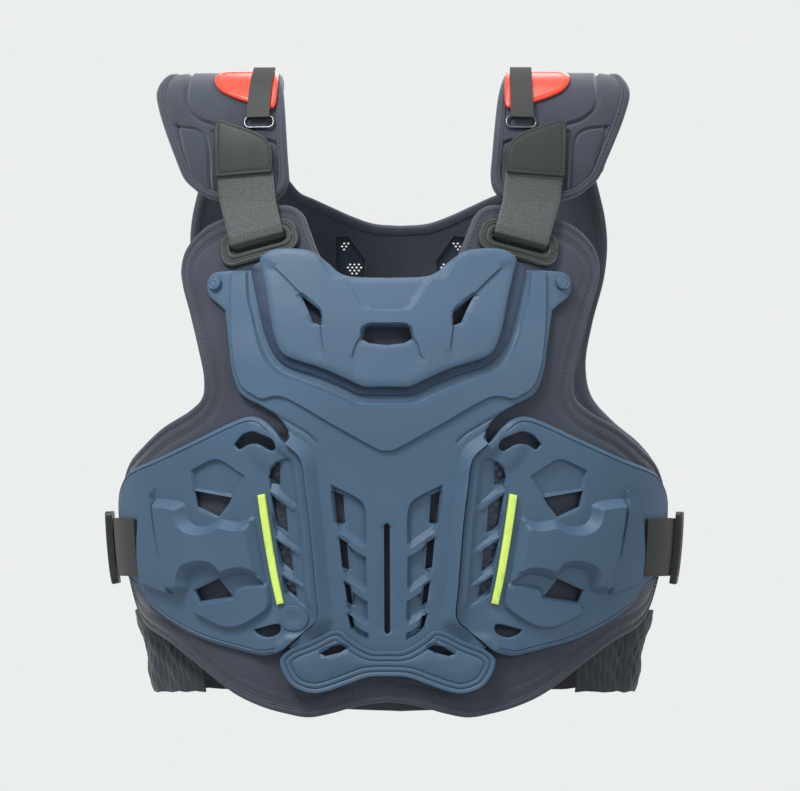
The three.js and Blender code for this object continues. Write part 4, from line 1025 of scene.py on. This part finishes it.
def wings():
    seam = smooth(WING_SEAM, 2.5)
    rest = smooth([WING_SEAM[-1], *WING_EDGE, WING_SEAM[0]], 3)
    outline = unrolled(np.vstack([seam, rest[1:-1]]))
    holes = [laid(rows) for rows in LOUVRE_HOLES]
    holes += [relief_ring(BOOMERANG), laid(UPPER_VENT), laid(LOWER_VENT), relief_ring(LOWER_SLOT)]
    bridge, well, lobe = relief_ring(BRIDGE), relief_ring(UPPER_WELL), relief_ring(LOWER_LOBE)
    louvre, fold, flap = relief_ring(LOUVRE_WELL), relief_ring(OUTER_FOLD), relief_line(FLAP_LINE)
    rim, lip = relief_line(WING_EDGE, 2.5), unrolled(seam)
    badge = place_of(BADGE_PLACE, 1)
    ribs = [(*laid(ends), width) for *ends, width in LOUVRE_RIBS]
    inner_end, outer_end = laid(LOUVRE_INNER_END), laid(LOUVRE_OUTER_END)

    def rise(p):
        to_lip, to_rim = distance_to(p, lip), distance_to(p, rim)
        top = SHELL + 2.2 * (1 - ease((to_lip - 16) / 10))
        to_badge = np.linalg.norm(p - badge, axis=1)
        top = top + 3.0 * (1 - ease((to_lip - 4) / 4)) * ease((to_badge - 10) / 6)
        top = top - 1.6 * ease(1 - to_rim / 2.6) - 0.8 * ease(1 - np.abs(to_rim - 3.6) / 0.9)
        raised = plateau(p, bridge, 8.6, 6)
        flap_side = p[:, 0] > np.interp(-p[:, 1], -flap[:, 1], flap[:, 0])
        raised = raised - np.where((raised > 0) & flap_side, 1.6 * ease(distance_to(p, flap) / 1.2), 0)
        top = top + np.maximum(raised, plateau(p, fold, 4.2, 1.6)) + plateau(p, lobe, 3.6, 2.6)
        top = top - plateau(p, well, 4.2, 2) * np.clip(to_lip / 60 - 0.1, 0.3, 1)
        to_outer, to_inner = distance_to(p, outer_end), distance_to(p, inner_end)
        slope = np.clip(to_inner / (to_outer + to_inner + 1e-6) * 1.15, 0, 1)
        blades = sum(rib(p, start, end, w, w * 0.5, LOUVRE_DEPTH, 0.8) for start, end, w in ribs)
        sink = slope * plateau(p, louvre, LOUVRE_DEPTH, 1.6)
        return top + np.minimum(np.where(inside(p, louvre), blades, 0) - sink, 0)

    rails = [(rim, (0, 2.8, 3.6, 4.4), False), (bridge, (0, 3, 6), True), (lobe, (0, 1.3, 2.6), True),
             (well, (0, 1, 2), True), (louvre, (0, 0.8, 1.6), True), (flap, (0, 0.6, 1.2), False),
             (fold, (0, 1.6), True)]
    for start, end, width in ribs:
        up = upward(start, end) * width
        rails += [(np.array([start - up * share, end - up * 0.2 * share]), (0,), False)
                  for share in (0, 1, 1.48, 1.56)]
    for side, tag in SIDES:
        wing = plate(f"side_wing_shell_{tag}", sided(outline, side), lambda points: rise(sided(points, side)),
                     SHELL_FLOOR, [sided(hole, side) for hole in holes], spacing=1.8,
                     rails=[(sided(line, side), offsets, is_closed) for line, offsets, is_closed in rails])
        finish_piece(wing, "shell", [f"side_wing_{tag}"])


def hem():
    outline = whole(HEM, 2.5)
    grooves = [inset(outline, 3.4), inset(outline, 7)]

    def rise(points):
        top = ON_SHELL + HEM_THICKNESS + sum(groove(points, line, 1.8, 0.9, True) for line in grooves)
        to_edge = distance_to(points, outline, True)
        return top - 0.6 * ease(to_edge / 3) + 0.9 * ease((to_edge - 8) / 6)

    piece = plate("hem_moulding", outline, rise, ON_SHELL, on_both_sides(HEM_WINDOW), spacing=2.2, edge=1.4,
                  rails=[(line, (0, 0.5, 0.95), True) for line in grooves])
    finish_piece(piece, "shell", ["hem_plate"])


def button(name, node, place, radius, corners, height, ring_dent, middle_dent, spacing, edge):
    """A round moulding with dents: a ring's radius, width and depth, and the middle's radius and depth."""
    def rise(points):
        reach = np.linalg.norm(points - place, axis=1)
        at, width, depth = ring_dent
        dents = depth * ease(1 - np.abs(reach - at) / width)
        return ON_SHELL + height - dents - middle_dent[1] * ease(1 - reach / middle_dent[0])

    piece = plate(name, circle(place, radius, corners), rise, ON_SHELL, spacing=spacing, edge=edge)
    finish_piece(piece, "shell", [node])


def small_mouldings():
    for side, tag in SIDES:
        stripe = plate(f"yellow_stripe_{tag}", filled(laid(STRIPE, side)), ON_SHELL + 2.2, ON_SHELL - 1, edge=0.5)
        finish_piece(stripe, "accent_yellow", [f"accent_stripe_{tag}"])
        button(f"ear_rivet_{tag}", f"shell_rivet_{tag}", place_of(RIVET_PLACE, side), 5, 40, 2.6,
               (3.6, 0.6, 0.5), (1.6, 0.4), 0.8, 0.7)
    button("round_badge", "wing_badge", place_of(BADGE_PLACE, -1), 9.4, 60, 2.4,
           (7.9, 0.5, 0.4), (7.6, 0.9), 1.0, 0.5)


def pierced(name, ring, pitch, radius, open_places=()):
    """A mesh in a window; where places are given, with their reach, it is pierced only round them."""
    outline = filled(inset(ring, 0.03))
    spots = staggered(outline, pitch)
    spots = spots[inside(spots, outline)]
    spots = spots[distance_to(spots, outline, True) > radius + 0.8]
    if open_places:
        spots = spots[np.any([np.linalg.norm(spots - place, axis=1) < reach for place, reach in open_places],
                             axis=0)]
    piece = plate(f"perforated_{name}", outline, MESH_TOP, MESH_FLOOR, [circle(p, radius, 10) for p in spots],
                  spacing=pitch * 1.4, edge=0.2)
    finish_piece(piece, "vent_mesh", [name])


def meshes():
    for side, tag in SIDES:
        pierced(f"vent_mesh_{tag}", laid(MESH_WINDOW, side), 5.0, 1.75)
        places = laid(BACK_VENT_PLACES, side, True)
        pierced(f"back_vent_mesh_{tag}", laid(BACK_WINDOW, side, True), 2.5, 0.65,
                list(zip(places, BACK_VENT_REACH)))


# Shoulder pads and straps
def on_pad(side):
    def place(rows):
        across, share = np.array([row[:2] for row in rows], float).T / 100
        length = share * np.where(share >= 0, FRONT_LENGTH, BACK_LENGTH)
        return np.stack([side * (PAD_INNER_EDGE + across * PAD_WIDTH), -length], axis=-1)
    return place


def near_web(side):
    def place(rows):
        across, share = np.array([row[:2] for row in rows], float).T / 100
        return np.stack([side * (WEB_CENTRE - across * WEB_WIDTH), -share * FRONT_LENGTH], axis=-1)
    return place


def shoulder_pads():
    for side, tag in SIDES:
        edge = closed(PAD_OUTLINE, 2.5, on_pad(side))
        cloth = inset(edge, BINDING_WIDTH * 0.8)
        channels = [(smooth(rows, 2, on_pad(side)), width, depth) for rows, width, depth in PAD_CHANNELS]

        def rise(points):
            dents = sum(groove(points, line, width, depth * 1.7) for line, width, depth in channels)
            return PAD - 1.2 + 1.2 * ease(distance_to(points, cloth, True) / 12) + dents

        rails = [(line, (0, width * 0.2, width * 0.45), False) for line, width, _ in channels]
        pad = plate(f"shoulder_foam_{tag}", inset(cloth, 0.4), rise, 0, surface=on_arch, spacing=2.6, rails=rails,
                    edge=1.6)
        finish_piece(pad, "neoprene", [f"shoulder_pad_{tag}"])
        tape = bound_edge(f"shoulder_edge_tape_{tag}", edge, on_arch, BINDING_PROUD, PAD - BINDING_PROUD)
        finish_piece(tape, "binding", [f"pad_binding_{tag}"])
        stitches(f"shoulder_tape_stitches_{tag}", inset(edge, BINDING_WIDTH * 0.74), on_arch, PAD - 0.75)


def patches_and_tabs():
    top = PATCH_LAYER + PATCH_THICKNESS
    for side, tag in SIDES:
        outline = counter_clockwise(closed(PATCH_OUTLINE, 2, near_web(side)))
        seam = inset(outline, 2.2)
        patch = plate(f"plain_patch_{tag}", outline,
                      lambda points: top - 0.2 + groove(points, seam, 1.6, 0.35, True), PATCH_LAYER,
                      surface=on_arch, spacing=2, edge=0.6, rails=[(seam, (0, 0.7), True)])
        finish_piece(patch, "patch", [f"strap_patch_{tag}"])
        stitches(f"patch_stitches_{tag}", seam, on_arch, top - 0.35, "patch", pitch=2.6, length=1.8, width=0.5)
        tab = counter_clockwise(closed(TAB_OUTLINE, 2, near_web(side)))

        def tab_rise(points):
            gap = distance_to(points, tab, True)
            return STRAP_LAYER + TAB_THICKNESS - 0.7 + 0.7 * ease(gap / 2.5) - 0.5 * ease((gap - 3.4) / 0.8)

        piece = plate(f"red_tab_{tag}", tab, tab_rise, STRAP_LAYER, surface=on_arch, spacing=1.8, edge=0.9)
        finish_piece(piece, "tab_red", [f"brace_tab_{tag}"])


def shoulder_webbing(side, tag, strands=41, steps=5):
    """The wide webbing: down the pad, into the slot of its guard and behind the panel."""
    slot_centre = front([GUARD_PLACE])[0][0]
    across = np.linspace(-0.5, 0.5, strands) * WEB_WIDTH
    guard_top = GUARD_FLOOR + GUARD_THICKNESS
    key_rows = []
    for share in np.arange(steps + 1) / steps:
        length = FRONT_LENGTH * (WEB_TOP + share * (1 - WEB_TOP))
        centre = WEB_CENTRE + (slot_centre - WEB_CENTRE) * share * 0.6
        key_rows.append(on_arch(row_at(side * centre + across, -length), STRAP_LAYER + WEB_THICKNESS / 2))
    into_slot = [(7, guard_top + 2.2), (2.2, guard_top + 0.9), (0.4, PANEL), (0, 0), (-0.5, -3.5), (-9, -6)]
    for above, out in into_slot:
        points = row_at(across, above) @ rotation(guard_tilt(side)) + place_of(GUARD_PLACE, side)
        key_rows.append(on_torso(points, out))
    key_rows = np.array(key_rows)
    route = lengths_along(key_rows[:, strands // 2])
    at = np.linspace(0, route[-1], int(route[-1] / WEB_RIB) * 4 + 1)
    rows = np.apply_along_axis(lambda column: np.interp(at, route, column), 0, key_rows)
    phase = np.arange(len(at)) * math.pi / 2
    weave = 0.11 * np.cos(phase)[:, None] * np.cos(np.arange(strands) * math.pi)[None, :]
    thickness = WEB_THICKNESS - 0.35 + 0.35 * np.abs(np.cos(phase / 2))[:, None] + weave
    selvedge = np.clip((WEB_WIDTH / 2 - np.abs(across)) / 1.4, 0.35, 1)
    strap = grid_sheet(f"shoulder_webbing_{tag}", rows[::-1], (thickness * selvedge)[::-1])
    finish_piece(strap, "webbing", [f"shoulder_strap_{tag}"])


def narrow_webbing(side, tag, strands=17, steps=90):
    columns = np.linspace(-0.5, 0.5, strands) * TAB_STRAP_WIDTH + side * TAB_STRAP_CENTRE
    first, last = TAB_STRAP_TOP * FRONT_LENGTH, LOOP_TOP * FRONT_LENGTH + LOOP_WIRE
    middle = STRAP_LAYER + TAB_THICKNESS + GAP + TAB_STRAP_THICKNESS / 2
    rows = [on_arch(row_at(columns, -length), middle) for length in np.linspace(first, last, steps)]
    ribbing = TAB_STRAP_THICKNESS - 0.2 + 0.2 * np.cos(np.arange(steps) * math.pi)[:, None]
    strap = grid_sheet(f"narrow_webbing_{tag}", rows[::-1], ribbing)
    finish_piece(strap, "webbing", [f"tab_strap_{tag}"], "side_webbing")


def wire_loop(side, tag):
    centre = np.array([side * TAB_STRAP_CENTRE, -(LOOP_TOP * FRONT_LENGTH + LOOP_HEIGHT / 2)])
    route = rounded_box(centre, LOOP_WIDTH, LOOP_HEIGHT, LOOP_HEIGHT * 0.4, steps=8)
    route = spaced(np.vstack([route, route[:1]]), 0.8)[:-1]
    middle = PAD + 0.56 + LOOP_WIRE / 2
    centres = on_arch(route, middle)
    up = on_arch(route, middle + 1) - centres
    across = np.cross(up, unit(np.roll(centres, -1, axis=0) - np.roll(centres, 1, axis=0)))
    rings = [centres + LOOP_WIRE / 2 * (up * math.cos(a) + across * math.sin(a)) for a in full_turn(16)]
    finish_piece(swept(f"wire_strap_loop_{tag}", rings, 180), "wire", [f"strap_loop_{tag}"])


def shoulder_straps():
    for side, tag in SIDES:
        shoulder_webbing(side, tag)
        narrow_webbing(side, tag)
        wire_loop(side, tag)


def waist_belt():
    """The ruched belt: fine folds, broader gathers across them and a bulge at the flanks."""
    folds, gathers, steps = 84, 26, 24
    columns = folds * 8
    start = 0.27 * math.pi
    angles = np.linspace(start, 2 * math.pi - start, columns + 1)
    turn = (angles - start) / (angles[-1] - start) * 2 * math.pi
    rng = np.random.default_rng(7)
    sway = np.interp(angles, np.linspace(angles[0], angles[-1], 60), rng.uniform(-1, 1, 60))
    rows = []
    for share in np.linspace(0, 1, steps + 1):
        z = PANEL_TOP - PANEL_HEIGHT + BELT_RISE + (share - 0.5) * BELT_HEIGHT
        lean = 0.35 * math.sin(share * math.pi * 2) + 0.25 * sway * share + 2.4 * share
        fold = np.sin(turn * gathers + share * 24 + sway * 1.5) + 0.3 * np.sin(turn * folds + lean * 2)
        depth = 1.2 * (0.35 + 0.65 * math.sin(share * math.pi) ** 0.7) * (0.7 + 0.3 * sway)
        points = row_at(angles * GIRTH_RADIUS, z)
        points[:, 1] += 0.8 * sway
        bulge = (3.5 + 5.5 * share + 1.2 * math.sin(share * 9)) * ease((np.abs(np.sin(angles)) - 0.93) / 0.07)
        rows.append(on_torso(points, -4.3 + bulge + fold * depth))
    belt = grid_sheet("ruched_belt", rows, 1.6, 70)
    finish_piece(belt, "belt_elastic", ["waist_belt"])


def side_straps(strands=41, steps=161):
    z = PANEL_TOP - SIDE_STRAP_DROP
    weave = np.cos(np.arange(steps) * math.pi)[None, :] * np.cos(np.arange(strands) * math.pi / 2)[:, None]
    for side, tag in SIDES:
        start, end = sorted([side * 0.36 * math.pi, side * 0.66 * math.pi])
        around = np.linspace(start, end, steps) * GIRTH_RADIUS
        rows = [on_torso(row_at(around, z + share * SIDE_STRAP_WIDTH / 2), ON_SHELL + 1)
                for share in np.linspace(-1, 1, strands)]
        strap = grid_sheet(f"side_webbing_{tag}", rows, 1.8 + 0.2 * weave)
        finish_piece(strap, "webbing", [f"side_strap_{tag}"], "side_webbing")
        centre = np.array([side * 0.5 * math.pi * GIRTH_RADIUS, z])
        floor = ON_SHELL + 2 + GAP
        holes = [rounded_box(centre + [s * 5.625, 0], 6, SIDE_STRAP_WIDTH - 2, 1.5, steps=3) for s in (-1, 1)]
        buckle = plate(f"flank_buckle_{tag}", filled(rounded_box(centre, 30, 50, 4)), floor + 5, floor, holes,
                       spacing=2.5, edge=1.4)
        finish_piece(buckle, "buckle", [f"side_buckle_{tag}"])


front_panel()
back_panel()
slot_guards()
main_shell()
collar()
wings()
hem()
small_mouldings()
meshes()
shoulder_pads()
patches_and_tabs()
shoulder_straps()
waist_belt()
side_straps()


# Floor, light and camera, in metres
FLOOR_RADIUS = 1.4
FLOOR_HEIGHT = -0.56
FLOOR_COLOUR = (0.42, 0.43, 0.43, 1)
SKY_COLOUR = (0.83, 0.855, 0.845, 1)
# Name, place, size and energy
LIGHTS = [
    ("key", (-1.0, -1.6, 2.0), 1.0, 108), ("fill", (1.6, -1.9, 0.7), 1.2, 16),
    ("top", (0.1, -0.3, 1.9), 1.2, 22), ("back", (0.2, 1.9, 0.9), 1.2, 16),
]
LIGHT_AIM = Vector((0, 0, -0.24))
SENSOR = 36
CAMERA_YAW = math.radians(2.4)
CAMERA_DISTANCE = 11.0
# How far the chest stands before the point aimed at, and the picture's width there
CHEST_DEPTH = 0.1
PICTURE_WIDTH = 0.576
AIM = Vector((0.004, 0, -0.2244))


def linked(name, data):
    obj = bpy.data.objects.new(name, data)
    bpy.context.scene.collection.objects.link(obj)
    return obj


def area_light(name, place, size, energy):
    light = bpy.data.lights.new(name, "AREA")
    light.shape, light.size, light.energy = "DISK", size, energy
    obj = linked(name, light)
    obj.location = place
    obj.rotation_euler = (LIGHT_AIM - Vector(place)).to_track_quat("-Z", "Y").to_euler()


def studio():
    disc = bpy.data.meshes.new("floor")
    rim = circle(np.zeros(2), FLOOR_RADIUS, 64)
    disc.from_pydata([(x, y, FLOOR_HEIGHT) for x, y in rim.tolist()], [], [list(range(len(rim)))])
    pale = bpy.data.materials.new("pale floor")
    pale.use_nodes = True
    shader = pale.node_tree.nodes["Principled BSDF"]
    shader.inputs["Base Color"].default_value = FLOOR_COLOUR
    shader.inputs["Roughness"].default_value = 0.8
    disc.materials.append(pale)
    floor = linked("floor", disc)
    world = bpy.data.worlds.new("studio")
    world.use_nodes = True
    world.node_tree.nodes["Background"].inputs["Color"].default_value = SKY_COLOUR
    world.node_tree.nodes["Background"].inputs["Strength"].default_value = 1.0
    bpy.context.scene.world = world
    bpy.context.scene.view_settings.view_transform = "Standard"
    for light in LIGHTS:
        area_light(*light)


def camera():
    data = bpy.data.cameras.new("camera")
    data.sensor_width = SENSOR
    data.lens = SENSOR * (CAMERA_DISTANCE - CHEST_DEPTH) / PICTURE_WIDTH
    data.clip_end = 60
    obj = linked("camera", data)
    obj.location = AIM + CAMERA_DISTANCE * Vector((math.sin(CAMERA_YAW), -math.cos(CAMERA_YAW), 0))
    obj.rotation_euler = (math.pi / 2, 0, CAMERA_YAW)
    bpy.context.scene.camera = obj


studio()
camera()
